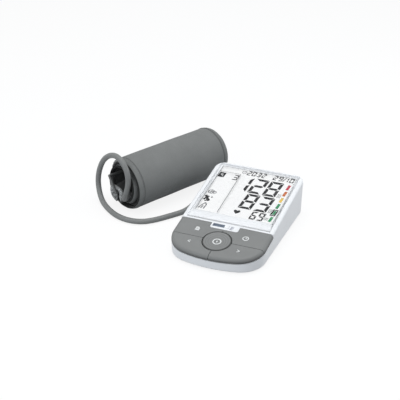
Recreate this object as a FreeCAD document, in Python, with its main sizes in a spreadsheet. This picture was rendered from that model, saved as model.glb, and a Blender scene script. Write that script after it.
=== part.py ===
import FreeCAD, Part
import math
import os
import re
import Sketcher
from FreeCAD import Placement, Rotation, Vector

# Arm-in blood pressure monitor: a wedge-shaped table unit, its air hose, and its rolled arm cuff.
# Millimetres, +Z up. The origin is on the table, under the middle of the unit and cuff together.
# The unit has two frames of its own: "base" sits on the table at the front of the unit,
# and "panel" is that frame lifted to the front edge and tilted into the sloping top face.

SIZES = {
    # where the unit and the cuff stand
    "monitor_x": 57.9, "monitor_y": -117.2,
    "cuff_x": -85.9, "cuff_y": -24.8, "cuff_turn_angle": 64.3,
    # housing
    "monitor_width": 110.0, "monitor_length": 168.8, "front_height": 17.2, "panel_tilt": 9.5,
    "base_inset": 1.0, "side_draft": 1.6, "back_corner": 11.0, "front_corner": 30.0,
    "front_bow": 130.0, "foot_height": 1.2, "parting_height": 6.0, "wall": 2.2, "top_wall": 3.4,
    "top_round": 2.6, "base_round": 2.0,
    # feet and screws
    "foot_radius": 5.0, "foot_recess": 0.6, "foot_inset": 19.0, "front_foot_y": 22.0,
    "back_foot_inset": 16.8, "post_radius": 4.0, "post_inset": 8.0, "front_post_y": 52.0,
    "back_post_inset": 53.8, "post_split": 10.0, "post_top": 15.6, "screw_radius": 1.25,
    "screw_head_radius": 2.6, "screw_head_height": 1.6, "screw_play": 0.06,
    # keys
    "key_back": 56.8, "key_depth": 5.0, "key_wall": 1.6, "key_edge": 4.4, "key_groove": 0.6,
    "key_travel": 0.8, "key_play": 0.2, "key_line": 28.4, "shelf_wall": 2.0,
    "start_y": 27.4, "start_radius": 16.4, "start_gap": 0.45, "start_dish": 0.7,
    "stem_radius": 2.5, "stem_play": 0.5, "stem_x": 30.0, "back_stem_y": 42.0,
    "front_stem_y": 18.0, "dome_radius": 4.0, "dome_gap": 1.0, "dome_height": 1.2,
    "dome_sheet": 0.8,
    # selector switch in its white tab
    "tab_left": -17.0, "tab_right": 16.0, "tab_front": 48.2, "tab_play": 0.3,
    "tab_corner": 2.4,
    "slot_left": -15.2, "slot_right": 4.2, "slot_front": 51.2, "slot_back": 56.2,
    "slot_depth": 2.0, "knob_width": 5.0, "knob_play": 0.2, "knob_rise": 0.4,
    "lever_thickness": 1.2, "lever_width": 2.4, "switch_height": 1.4,
    # display
    "lens_margin": 5.5, "lens_front": 59.4, "lens_end_margin": 3.95, "lens_thickness": 1.6,
    "lens_corner": 4.0, "lens_play": 0.15, "lens_sink": 0.1, "window_margin": 8.5,
    "window_front": 75.0, "window_end_margin": 6.75, "lcd_play": 0.5, "lcd_gap": 0.4,
    "lcd_thickness": 2.6, "tray_depth": 2.6, "tray_wall": 1.2, "tray_lip": 1.4,
    # electronics
    "board_margin": 12.0, "board_front": 10.0, "board_end_gap": 5.0, "board_thickness": 1.6,
    "board_inset": 5.0, "chip_height": 1.4, "chip_gap": 1.24, "sensor_width": 12.0,
    "sensor_length": 9.0, "sensor_height": 5.0, "buzzer_radius": 6.0, "buzzer_height": 3.0,
    "buzzer_inset": 15.0,
    "ribbon_film": 0.3, "ribbon_bend": 0.8, "ribbon_rise": 1.2, "ribbon_lap": 4.0,
    "ribbon_end_gap": 7.5,
    # batteries
    "cell_radius": 7.25, "cell_length": 49.5, "cell_pitch": 14.9, "cell_nub": 1.0,
    "bay_inset": 90.8, "bay_wall": 1.5, "nub_radius": 2.7, "spring_wide": 5.0,
    "spring_narrow": 3.0, "contact_width": 11.0, "cell_gap": 0.35, "contact_gap": 3.8,
    "contact_thickness": 0.4, "door_thickness": 2.0, "door_play": 0.4, "hinge_pin": 0.7,
    "hinge_pin_length": 1.6, "hinge_play": 0.08,
    # air parts inside
    "pump_radius": 11.0, "pump_length": 52.0, "pump_inset": 27.0, "pump_back_inset": 17.8,
    "pump_lift": 1.2, "can_wall": 1.0, "rotor_play": 0.6, "motor_length": 30.0,
    "shaft_radius": 1.0, "shaft_play": 0.05, "saddle_width": 4.0,
    "socket_inset": 30.8, "socket_z": 11.0, "socket_radius": 4.5, "socket_bore": 2.7,
    "socket_depth": 14.0, "socket_play": 0.1, "manifold_width": 6.0, "manifold_length": 26.0,
    "manifold_height": 11.0, "manifold_drop": 3.0, "tube_radius": 2.2, "tube_gap": 1.0,
    "port_radius": 1.4, "sensor_tube_drop": 16.2485, "nozzle_length": 6.0,
    "valve_radius": 4.4, "valve_length": 16.0, "valve_inset": 8.4, "valve_gap": 5.6,
    "plunger_radius": 2.8, "plunger_travel": 1.5,
    # air hose and plug
    "hose_diameter": 6.6, "plug_radius": 4.0, "plug_stub": 2.55, "plug_stub_length": 10.0,
    "plug_reach": 10.0, "plug_tail": 8.0,
    # cuff
    "cuff_radius": 31.4, "cuff_length": 137.8, "wrap_thickness": 3.2,
    "binding_width": 5.0, "layer_gap": 0.1, "bladder_thickness": 0.8, "bladder_inset": 12.0,
    "first_tuck": 4.4, "second_tuck": 3.2, "loop_radius": 10.4, "loop_out": 6.7,
    "loop_padding": 6.0, "ring_wire": 1.6, "ring_width": 22.0, "nozzle_radius": 3.6,
    "nozzle_out": 8.0,
}

# Places that follow from the sizes above.
FOLLOWING = {
    "foot_x": "monitor_width / 2 - foot_inset",
    "back_foot_y": "monitor_length - back_foot_inset",
    "post_x": "monitor_width / 2 - post_inset",
    "back_post_y": "monitor_length - back_post_inset",
    "lens_width": "monitor_width - 2 * lens_margin",
    "lens_back": "monitor_length / cos(panel_tilt * 1deg) - lens_end_margin",
    "window_width": "monitor_width - 2 * window_margin",
    "window_back": "monitor_length / cos(panel_tilt * 1deg) - window_end_margin",
    "bay_front": "monitor_length - bay_inset",
    "board_width": "monitor_width - 2 * board_margin",
    "board_back": "bay_front - board_end_gap",
    "bay_side": "2 * cell_pitch + cell_gap + bay_wall",
    "sensor_x": "min(sensor_width / 2 - board_width / 2; -bay_side - tube_gap - tube_radius)",
    "sensor_tube_z": "front_height + board_back * sin(panel_tilt * 1deg) - sensor_tube_drop",
    "buzzer_x": "board_width / 2 - buzzer_inset",
    "pump_left": "pump_inset - monitor_width / 2",
    "manifold_end": "min(pump_left - nozzle_length; -bay_side - tube_gap)",
    "pump_y": "monitor_length - pump_back_inset",
    "socket_y": "monitor_length - socket_inset",
    "wall_x": "base_inset - monitor_width / 2 - socket_z * tan(side_draft * 1deg)",
    "valve_x": "wall_x + valve_inset",
    "valve_front": "socket_y + valve_gap",
    "cut": "monitor_width",
}

# Turns of the rolled cuff, as angles about its axis in degrees, from its loose end inwards.
OUTER_START_ANGLE, OUTER_END_ANGLE, MIDDLE_END_ANGLE = 148.0, -135.0, -315.0
INNER_END_ANGLE, LOOP_END_ANGLE = -478.0, -763.0
HOOK_START_ANGLE = 156.5
RING_ANGLE = 122.0

# The air hose: points that go with a roll of the size given here, from the middle of its left
# end, then points that go with the tail of the air plug, from the table under it.
HOSE_ROLL_RADIUS = 31.4
HOSE_FROM_CUFF = [
    (8.1, -13.0, -4.9), (11.5, -14.4, 4.6), (13.1, -15.2, 18.0), (8.2, -12.9, 31.0),
    (-3.6, -7.5, 39.2), (-16.9, -0.5, 35.6), (-29.2, 5.3, 25.4), (-37.3, 8.4, 10.2),
    (-40.5, 8.6, -6.0), (-37.6, 5.3, -20.0),
]
HOSE_TO_PLUG = [
    (-109.3, -40.1, 3.5), (-95.8, -53.0, 3.4), (-79.0, -64.8, 3.4), (-61.0, -70.2, 3.4),
    (-44.5, -67.6, 3.4), (-33.0, -58.6, 3.4), (-23.6, -46.7, 3.4), (-16.1, -36.5, 3.4),
    (-9.1, -26.9, 3.6), (-4.4, -18.0, 5.4), (-1.2, -9.6, 8.8), (-0.1, -4.6, 10.6), (0.0, 0.0, 11.0),
]

doc = FreeCAD.newDocument("arm_monitor")
sheet = doc.addObject("Spreadsheet::Sheet", "Sizes")
FORMULAS = {alias: "=" + formula for alias, formula in FOLLOWING.items()}
NAMES = {**SIZES, **FORMULAS}
for row, (alias, content) in enumerate(NAMES.items(), start=1):
    sheet.set(f"A{row}", alias)
    sheet.set(f"B{row}", str(content))
    sheet.setAlias(f"B{row}", alias)
doc.recompute()

WORD = re.compile(r"[A-Za-z_][A-Za-z0-9_]*")
NODES = []


def size(alias):
    """A driving size, as a number."""
    return float(sheet.get(alias))


def linked(text):
    """An expression whose size names point at the sheet."""
    return WORD.sub(lambda word: "Sizes." + word.group() if word.group() in NAMES else word.group(),
                    str(text))


def bind(thing, **formulas):
    """Bind properties of an object to formulas of the sheet's sizes."""
    for name, formula in formulas.items():
        thing.setExpression(name, linked(formula))
    return thing


def seat(thing, frame, x="0", y="0", z="0", turn=None):
    """Place an object in a frame. Tool frames are for pieces that a placed object is made from."""
    rotation = turn or Rotation()
    if frame.startswith("panel"):
        rotation = Rotation(Vector(1, 0, 0), size("panel_tilt"))
        y, z = (f"({y}) * cos(panel_tilt * 1deg) - ({z}) * sin(panel_tilt * 1deg)",
                f"front_height + ({y}) * sin(panel_tilt * 1deg) + ({z}) * cos(panel_tilt * 1deg)")
    if not frame.endswith("tool"):
        x, y = f"monitor_x + ({x})", f"monitor_y + {y}"
    thing.Placement = Placement(Vector(), rotation)
    for axis, formula in zip("xyz", (x, y, z)):
        thing.setExpression(f".Placement.Base.{axis}", linked(formula))
    if frame.startswith("panel"):
        thing.setExpression(".Placement.Rotation.Angle", linked("panel_tilt * 1deg"))
    return thing


def box(name, frame, x, y, z, length, width, height):
    """A box from its lowest corner."""
    solid = doc.addObject("Part::Box", name)
    bind(solid, Length=length, Width=width, Height=height)
    return seat(solid, frame, x, y, z)


ALONG = {"X": Rotation(Vector(0, 1, 0), 90), "Y": Rotation(Vector(1, 0, 0), -90), "Z": Rotation()}


def cylinder(name, frame, x, y, z, radius, height, along="Z"):
    """A cylinder from the middle of its first end."""
    solid = doc.addObject("Part::Cylinder", name)
    bind(solid, Radius=radius, Height=height)
    return seat(solid, frame, x, y, z, ALONG[along])


def joined(name, *solids):
    fuse = doc.addObject("Part::MultiFuse", name)
    fuse.Shapes = list(solids)
    return fuse


def shared(name, *solids):
    common = doc.addObject("Part::MultiCommon", name)
    common.Shapes = list(solids)
    return common


def carved(name, base, *tools):
    cut = doc.addObject("Part::Cut", name)
    cut.Base = base
    cut.Tool = tools[0] if len(tools) == 1 else joined(name + "_tools", *tools)
    return cut


def node(label, thing, frame=None):
    """Register a finished sub-part under the name of its file."""
    if frame:
        seat(thing, frame)
    thing.Label = label
    NODES.append(thing)
    return thing


def plane_of(body, role):
    return next(item for item in body.Origin.OriginFeatures if item.Role == role)


def outline_body(name, low, high, inset="0"):
    """A drafted D-shaped block between two heights, inset from the housing's outer wall."""
    body = doc.addObject("PartDesign::Body", name)
    sketch = body.newObject("Sketcher::SketchObject", name + "_outline")
    sketch.AttachmentSupport = [(plane_of(body, "XY_Plane"), "")]
    sketch.MapMode = "FlatFace"
    sketch.setExpression(".AttachmentOffset.Base.z", linked(low))
    drafted = f"(base_inset - ({low}) * tan(side_draft * 1deg) + ({inset}))"
    # first guess of the outline, which the constraints then set exactly
    step = size("base_inset")
    half, length = size("monitor_width") / 2 - step, size("monitor_length") - step
    back, front, bow = size("back_corner"), size("front_corner"), size("front_bow")
    bow_y = bow + step
    front_x = half - front
    front_y = bow_y - math.sqrt((bow - front) ** 2 - front_x ** 2)
    lean = math.atan2(bow_y - front_y, front_x)
    up = Vector(0, 0, 1)

    def arc(centre_x, centre_y, radius, first, last):
        circle = Part.Circle(Vector(centre_x, centre_y, 0), up, radius)
        return Part.ArcOfCircle(circle, first, last)

    right, top = math.radians(0), math.radians(90)
    sketch.addGeometry([
        Part.LineSegment(Vector(half, front_y, 0), Vector(half, length - back, 0)),
        arc(half - back, length - back, back, right, top),
        Part.LineSegment(Vector(half - back, length, 0), Vector(back - half, length, 0)),
        arc(back - half, length - back, back, top, 2 * top),
        Part.LineSegment(Vector(-half, length - back, 0), Vector(-half, front_y, 0)),
        arc(-front_x, front_y, front, 2 * top, math.pi + lean),
        arc(0, bow_y, bow, math.pi + lean, 2 * math.pi - lean),
        arc(front_x, front_y, front, 2 * math.pi - lean, 2 * math.pi),
    ], False)
    for first in range(8):
        sketch.addConstraint(Sketcher.Constraint("Tangent", first, 2, (first + 1) % 8, 1))
    for line in (0, 4):
        sketch.addConstraint(Sketcher.Constraint("Vertical", line))
    sketch.addConstraint(Sketcher.Constraint("Horizontal", 2))
    sketch.addConstraint(Sketcher.Constraint("Equal", 1, 3))
    sketch.addConstraint(Sketcher.Constraint("Equal", 5, 7))
    sketch.addConstraint(Sketcher.Constraint("PointOnObject", 6, 3, -2))
    rules = (
        (Sketcher.Constraint("Radius", 1, back), f"back_corner - {drafted} + base_inset"),
        (Sketcher.Constraint("Radius", 5, front), f"front_corner - {drafted} + base_inset"),
        (Sketcher.Constraint("Radius", 6, bow), f"front_bow - {drafted} + base_inset"),
        (Sketcher.Constraint("DistanceX", -1, 1, 0, 1, half), f"monitor_width / 2 - {drafted}"),
        (Sketcher.Constraint("DistanceX", 4, 1, -1, 1, half), f"monitor_width / 2 - {drafted}"),
        (Sketcher.Constraint("DistanceY", -1, 1, 2, 1, length), f"monitor_length - {drafted}"),
        (Sketcher.Constraint("DistanceY", -1, 1, 6, 3, bow_y), "front_bow + base_inset"),
    )
    for rule, formula in rules:
        index = sketch.addConstraint(rule)
        sketch.setExpression(f"Constraints[{index}]", linked(formula))
    pad = body.newObject("PartDesign::Pad", name + "_pad")
    pad.Profile = sketch
    bind(pad, Length=f"({high}) - ({low})", TaperAngle="side_draft")
    body.Tip = pad
    return body


def panel_slab(name, low, high, front="-cut", back="monitor_length + cut"):
    """A wide slab that follows the sloping panel between two depths."""
    return box(name, "panel tool", "-cut", front, low, "2 * cut", f"({back}) - ({front})",
               f"({high}) - ({low})")


def edges_where(shape, test, radius):
    """Fillet entries for the edges that pass a test."""
    return [(index, radius, radius) for index, edge in enumerate(shape.Edges, start=1) if test(edge)]


def rounded(name, base, test, radius):
    doc.recompute()
    fillet = doc.addObject("Part::Fillet", name)
    fillet.Base = base
    fillet.Edges = edges_where(base.Shape, test, radius)
    return fillet


def panel_depth(point):
    """Depth of a point of the unit's base frame under the sloping panel, negative below it."""
    tilt = math.radians(size("panel_tilt"))
    return (point.z - size("front_height")) * math.cos(tilt) - point.y * math.sin(tilt)


def on_panel(edge, depth=0.0, tolerance=1e-3):
    spots = [edge.valueAt(edge.FirstParameter), edge.valueAt(edge.LastParameter),
             edge.valueAt((edge.FirstParameter + edge.LastParameter) / 2)]
    return all(abs(panel_depth(spot) - depth) < tolerance for spot in spots)


# ---- formulas that several pieces share ----
PANEL_TOP = "front_height + monitor_length * tan(panel_tilt * 1deg) + wall"
SHELF_TOP = "-(key_depth + key_travel + key_play)"
SHELF_LOW = f"({SHELF_TOP} - shelf_wall)"
BOARD_TOP = f"({SHELF_LOW} - dome_gap - dome_height - dome_sheet)"
LCD_TOP = "-(lens_sink + lens_thickness + lcd_gap)"
TRAY_TOP = f"({LCD_TOP} - lcd_thickness)"
FLOOR = "(foot_height + wall)"
BAY_HALF = "(2 * cell_pitch + cell_gap)"
BAY_LENGTH = "(cell_length + cell_nub + 2 * contact_gap)"
CELL_Z = "(foot_height + door_thickness + cell_gap + cell_radius)"
BAY_ROOF = f"({CELL_Z} + cell_radius + cell_gap)"
PUMP_Z = f"({FLOOR} + pump_lift + pump_radius)"
PUMP_BACK = "(pump_left + pump_length)"
SOCKET_END = "(wall_x + socket_depth)"
POSTS = [(side, y) for side in ("-post_x", "post_x") for y in ("front_post_y", "back_post_y")]
FEET = [(side, y) for side in ("-foot_x", "foot_x") for y in ("front_foot_y", "back_foot_y")]
STEMS = {
    "memory": ("-stem_x", "back_stem_y"), "clock": ("stem_x", "back_stem_y"),
    "back_arrow": ("-stem_x", "front_stem_y"), "forward_arrow": ("stem_x", "front_stem_y"),
    "start_stop": ("0", "start_y"),
}


# ---- bottom housing: shallow tub with battery bay, screw posts and pump saddles ----
def bottom_housing():
    tub = outline_body("tub", "foot_height", "parting_height")
    low = size("foot_height")

    def lowest(edge):
        return all(abs(vertex.Z - low) < 1e-4 for vertex in edge.Vertexes)

    tub_round = rounded("tub_round", tub, lowest, size("base_round"))
    hollow = outline_body("tub_hollow", FLOOR, "parting_height + wall", "wall")
    shell = carved("tub_shell", tub_round, hollow)
    bay = box("bay_block", "base tool", f"-{BAY_HALF} - bay_wall", "bay_front - bay_wall",
              "foot_height + wall / 2", f"2 * {BAY_HALF} + 2 * bay_wall",
              f"{BAY_LENGTH} + 2 * bay_wall", f"{BAY_ROOF} + bay_wall - foot_height - wall / 2")
    posts = [cylinder(f"low_post_{index}", "base tool", x, y, "foot_height + wall / 2",
                      "post_radius", "post_split - foot_height - wall / 2")
             for index, (x, y) in enumerate(POSTS)]
    saddles = [box(f"saddle_{index}", "base tool", x, "pump_y - pump_radius", "foot_height + wall / 2",
                   "saddle_width", "2 * pump_radius", f"{PUMP_Z} - pump_radius / 2 - foot_height"
                   " - wall / 2")
               for index, x in enumerate(("pump_left + saddle_width",
                                          f"{PUMP_BACK} - 3 * saddle_width"))]
    cradle = box("valve_cradle", "base tool", "valve_x - valve_radius / 2", "valve_front + 2",
                 "foot_height + wall / 2", "valve_radius", "valve_length - 4",
                 "socket_z - valve_radius - foot_height - wall / 2")
    body = joined("tub_body", shell, bay, *posts, *saddles, cradle)
    bay_space = box("bay_space", "base tool", f"-{BAY_HALF}", "bay_front", "0", f"2 * {BAY_HALF}",
                    BAY_LENGTH, BAY_ROOF)
    pins = cylinder("hinge_bore", "base tool", f"-{BAY_HALF} - hinge_pin_length - hinge_play",
                    "bay_front + door_play + door_thickness / 2",
                    "foot_height + door_thickness / 2", "hinge_pin + hinge_play",
                    f"2 * {BAY_HALF} + 2 * hinge_pin_length + 2 * hinge_play", "X")
    pump_space = cylinder("pump_space", "base tool", "pump_left - wall", "pump_y", PUMP_Z,
                          "pump_radius", "pump_length + 2 * wall", "X")
    valve_space = cylinder("valve_space", "base tool", "valve_x", "valve_front - 1", "socket_z",
                           "valve_radius", "valve_length + 2", "Y")
    tools = [bay_space, pins, pump_space, valve_space]
    for index, (x, y) in enumerate(FEET):
        tools.append(cylinder(f"foot_recess_{index}", "base tool", x, y, "0", "foot_radius",
                              "foot_height + foot_recess"))
    for index, (x, y) in enumerate(POSTS):
        tools.append(cylinder(f"head_recess_{index}", "base tool", x, y, "0",
                              "screw_head_radius + screw_play", "foot_height + screw_head_height"))
        tools.append(cylinder(f"screw_way_{index}", "base tool", x, y, "0",
                              "screw_radius + screw_play", "post_split + wall"))
    node("bottom_housing", carved("bottom_housing", body, *tools), "base")


def tab_block(name, play):
    """The switch tab as seen from above the panel, with its two front corners rounded."""
    block = box(name, "panel tool", f"tab_left - {play}", f"tab_front - {play}", "-cut / 2",
                f"tab_right - tab_left + 2 * {play}", f"key_back + wall - tab_front + {play}", "cut")
    front = size("tab_front") * math.cos(math.radians(size("panel_tilt")))

    def front_corner(edge):
        return edge.Length > size("cut") / 2 and abs(edge.BoundBox.Center.y - front) < 1.5

    return rounded(name + "_round", block, front_corner, size("tab_corner"))


# ---- top housing: white shell with the display opening, the keypad shelf and the switch tab ----
def top_housing():
    block = outline_body("upper_block", "parting_height", PANEL_TOP)
    sloped = shared("upper_sloped", block, panel_slab("upper_limit", "-cut", "0"))
    step = panel_slab("key_step", SHELF_TOP, "cut", "-cut", "key_back")
    tab = tab_block("tab_keep", "0")
    stepped = carved("upper_stepped", sloped, carved("key_step_cut", step, tab))
    back = size("key_back") * math.cos(math.radians(size("panel_tilt")))

    def outer_rim(edge):
        beyond = all(vertex.Y > back - 1e-3 for vertex in edge.Vertexes)
        flat_across = all(abs(vertex.Y - back) < 0.01 for vertex in edge.Vertexes)
        return on_panel(edge) and beyond and not flat_across

    smooth = rounded("upper_round", stepped, outer_rim, size("top_round"))
    hollow = outline_body("upper_hollow", "parting_height - wall", PANEL_TOP, "wall")
    behind = shared("hollow_behind", hollow,
                    panel_slab("behind_limit", "-cut", "-top_wall", "key_back + shelf_wall"))
    below = outline_body("upper_hollow_low", "parting_height - wall", PANEL_TOP, "wall")
    under = shared("hollow_under", below, panel_slab("under_limit", "-cut", SHELF_LOW))
    shell = carved("upper_shell", smooth, joined("upper_space", behind, under))
    posts = [cylinder(f"high_post_{index}", "base tool", x, y, "post_split", "post_radius",
                      "post_top - post_split") for index, (x, y) in enumerate(POSTS)]
    # webs tie the posts to the side walls
    webs = [box(f"post_web_{index}", "base tool", x if x[0] != "-" else "-cut",
                f"{y} - wall / 2", "post_split", "cut - post_x", "wall", "post_top - post_split")
            for index, (x, y) in enumerate(POSTS)]
    inside = outline_body("post_limit", "parting_height", PANEL_TOP, "wall / 2")
    held = shared("posts_held", inside, joined("high_posts", *posts, *webs))
    body = joined("upper_body", shell, held)
    recess = box("lens_recess", "panel tool", "-(lens_width / 2 + lens_play)",
                 "lens_front - lens_play", "-(lens_sink + lens_thickness)",
                 "lens_width + 2 * lens_play", "lens_back - lens_front + 2 * lens_play", "cut")
    window = box("window", "panel tool", "-window_width / 2", "window_front", "-cut / 2",
                 "window_width", "window_back - window_front", "cut")
    slot = box("slot", "panel tool", "slot_left", "slot_front", "-slot_depth",
               "slot_right - slot_left", "slot_back - slot_front", "cut")
    channel = box("lever_channel", "panel tool", "slot_left + knob_width / 2 - lever_width",
                  "(slot_front + slot_back) / 2 - lever_thickness / 2 - knob_play", "-cut / 2",
                  "slot_right - slot_left - knob_width + 2 * lever_width",
                  "lever_thickness + 2 * knob_play", "cut")
    window_low = shared("window_tool", window, panel_slab("window_limit", "-top_wall - wall", "cut"))
    channel_low = shared("channel_tool", channel,
                         panel_slab("channel_limit", f"{SHELF_LOW} - wall", "cut"))
    socket_hole = cylinder("socket_hole", "base tool", "wall_x - wall", "socket_y", "socket_z",
                           "socket_radius + socket_play", "2 * wall + wall", "X")
    tools = [recess, window_low, slot, channel_low, socket_hole]
    for name, (x, y) in STEMS.items():
        tools.append(cylinder(f"{name}_hole", "panel tool", x, y, f"{SHELF_LOW} - wall",
                              "stem_radius + stem_play", "shelf_wall + 2 * wall"))
    for index, (x, y) in enumerate(POSTS):
        tools.append(cylinder(f"pilot_{index}", "base tool", x, y, "post_split - wall",
                              "screw_radius + screw_play", "post_top - post_split"))
    node("top_housing", carved("top_housing", body, *tools), "base")


# ---- keys: four corner keys around the round start key ----
def keys():
    block = outline_body("key_block", "foot_height", PANEL_TOP)
    sloped = shared("key_sloped", block, panel_slab("key_limit", "-key_depth", "0", "-cut",
                                                    "key_back - key_groove / 2"))
    back = (size("key_back") - size("key_groove") / 2) * math.cos(math.radians(size("panel_tilt")))

    def front_rim(edge):
        across = all(abs(vertex.Y - back) < 0.01 for vertex in edge.Vertexes)
        return on_panel(edge) and not across

    smooth = rounded("key_round", sloped, front_rim, size("key_edge"))
    hollow = outline_body("key_hollow", "0", PANEL_TOP, "key_wall + key_edge / 2")
    space = shared("key_space", hollow,
                   panel_slab("key_space_limit", "-cut", "-key_wall", "-cut",
                              "key_back - key_wall - key_groove"))
    shell = carved("key_shell", smooth, space)
    well = cylinder("start_well", "panel tool", "0", "start_y", "-cut / 2",
                    "start_radius + start_gap", "cut")
    notch = tab_block("tab_notch", "tab_play")
    open_shell = carved("key_open", shell, well, notch)
    quarters = {
        "memory": ("-cut", "key_line + key_groove / 2"),
        "clock": ("key_groove / 2", "key_line + key_groove / 2"),
        "back_arrow": ("-cut", "key_line - key_groove / 2 - cut"),
        "forward_arrow": ("key_groove / 2", "key_line - key_groove / 2 - cut"),
    }
    for name, (x, y) in quarters.items():
        quarter = box(f"{name}_quarter", "panel tool", x, y, "-cut / 2",
                      "cut - key_groove / 2", "cut", "cut")
        cap = shared(f"{name}_cap", open_shell, quarter)
        stem_x, stem_y = STEMS[name]
        stem = cylinder(f"{name}_stem", "panel tool", stem_x, stem_y, SHELF_LOW, "stem_radius",
                        f"-key_wall / 2 - {SHELF_LOW}")
        node(f"{name}_key", joined(f"{name}_key", cap, stem), "base")


def start_key():
    """The round start and stop key, turned about its own axis, with a shallow dish."""
    body = doc.addObject("PartDesign::Body", "start_key")
    sketch = body.newObject("Sketcher::SketchObject", "start_profile")
    sketch.AttachmentSupport = [(plane_of(body, "XZ_Plane"), "")]
    sketch.MapMode = "FlatFace"
    rim, depth, wall = size("start_radius"), size("key_depth"), size("key_wall")
    dish, stem = size("start_dish"), size("stem_radius")
    stem_low = -(size("key_depth") + size("key_travel") + size("key_play") + size("shelf_wall"))
    crown = rim - 2.2
    points = [Vector(0, -dish, 0), Vector(crown, 0.3, 0), Vector(rim, -0.8, 0),
              Vector(rim, -depth, 0), Vector(rim - wall, -depth, 0), Vector(rim - wall, -wall - dish, 0),
              Vector(stem, -wall - dish, 0), Vector(stem, stem_low, 0), Vector(0, stem_low, 0)]
    middle = Vector(crown / 2, -dish * 0.72, 0)
    shoulder = Vector(rim - 0.45, 0.0, 0)
    sketch.addGeometry(Part.Arc(points[0], middle, points[1]), False)
    sketch.addGeometry(Part.Arc(points[1], shoulder, points[2]), False)
    for first, last in zip(points[2:], points[3:] + points[:1]):
        sketch.addGeometry(Part.LineSegment(first, last), False)
    turning = body.newObject("PartDesign::Revolution", "start_turning")
    turning.Profile = sketch
    turning.ReferenceAxis = (plane_of(body, "Z_Axis"), [""])
    turning.Angle = 360
    body.Tip = turning
    seat(body, "panel", "0", "start_y", "0")
    node("start_stop_key", body)


def selector():
    """Selector knob that slides in the tab's slot, and the switch under it."""
    middle_y = "(slot_front + slot_back) / 2"
    grip = box("knob_grip", "panel tool", "slot_right - knob_play - knob_width",
               "slot_front + knob_play", "-slot_depth + knob_play", "knob_width",
               "slot_back - slot_front - 2 * knob_play", "slot_depth + knob_rise - knob_play")
    middle_x = "slot_right - knob_play - knob_width / 2"
    lever = box("knob_lever", "panel tool", f"{middle_x} - lever_width / 2",
                f"{middle_y} - lever_thickness / 2", f"{SHELF_LOW} - dome_gap",
                "lever_width", "lever_thickness", f"dome_gap - {SHELF_LOW} - slot_depth / 2")
    catch = box("knob_catch", "panel tool", f"{middle_x} - lever_width / 2",
                f"{middle_y} - 1.5 * lever_thickness", f"{SHELF_LOW} - dome_gap",
                "lever_width", "3 * lever_thickness", "dome_gap - knob_play")
    node("selector_knob", joined("selector_knob", grip, lever, catch), "base")
    node("selector_switch", box("selector_switch", "panel",
                                "slot_left + knob_width / 2 - lever_width",
                                f"{middle_y} - 2 * lever_thickness", BOARD_TOP,
                                "slot_right - slot_left - knob_width + 2 * lever_width",
                                "4 * lever_thickness", "switch_height"))


# ---- display ----
def display():
    plate = box("lens_plate", "panel tool", "-lens_width / 2", "lens_front",
                "-(lens_sink + lens_thickness)", "lens_width", "lens_back - lens_front",
                "lens_thickness")

    def upright(edge):
        first, last = edge.Vertexes[0].Point, edge.Vertexes[-1].Point
        return abs(panel_depth(first) - panel_depth(last)) > size("lens_thickness") / 2

    lens = rounded("lens_round", plate, upright, size("lens_corner") / 2)
    limit = panel_slab("lens_limit", "-cut", "0")
    node("display_lens", shared("display_lens", lens, limit), "base")
    node("lcd_panel", box("lcd_panel", "panel", "-window_width / 2 + lcd_play",
                          "window_front + lcd_play", TRAY_TOP, "window_width - 2 * lcd_play",
                          "window_back - window_front - 2 * lcd_play", "lcd_thickness"))
    outer = box("tray_outer", "panel tool", "-window_width / 2 - tray_lip",
                "window_front - tray_lip", f"{TRAY_TOP} - tray_depth",
                "window_width + 2 * tray_lip", "window_back - window_front + 2 * tray_lip",
                "tray_depth")
    inner = box("tray_inner", "panel tool", "-window_width / 2 + tray_wall",
                "window_front + tray_wall", f"{TRAY_TOP} - tray_depth + tray_wall",
                "window_width - 2 * tray_wall", "window_back - window_front - 2 * tray_wall",
                "tray_depth")
    node("lcd_tray", carved("lcd_tray", outer, inner), "base")


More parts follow.
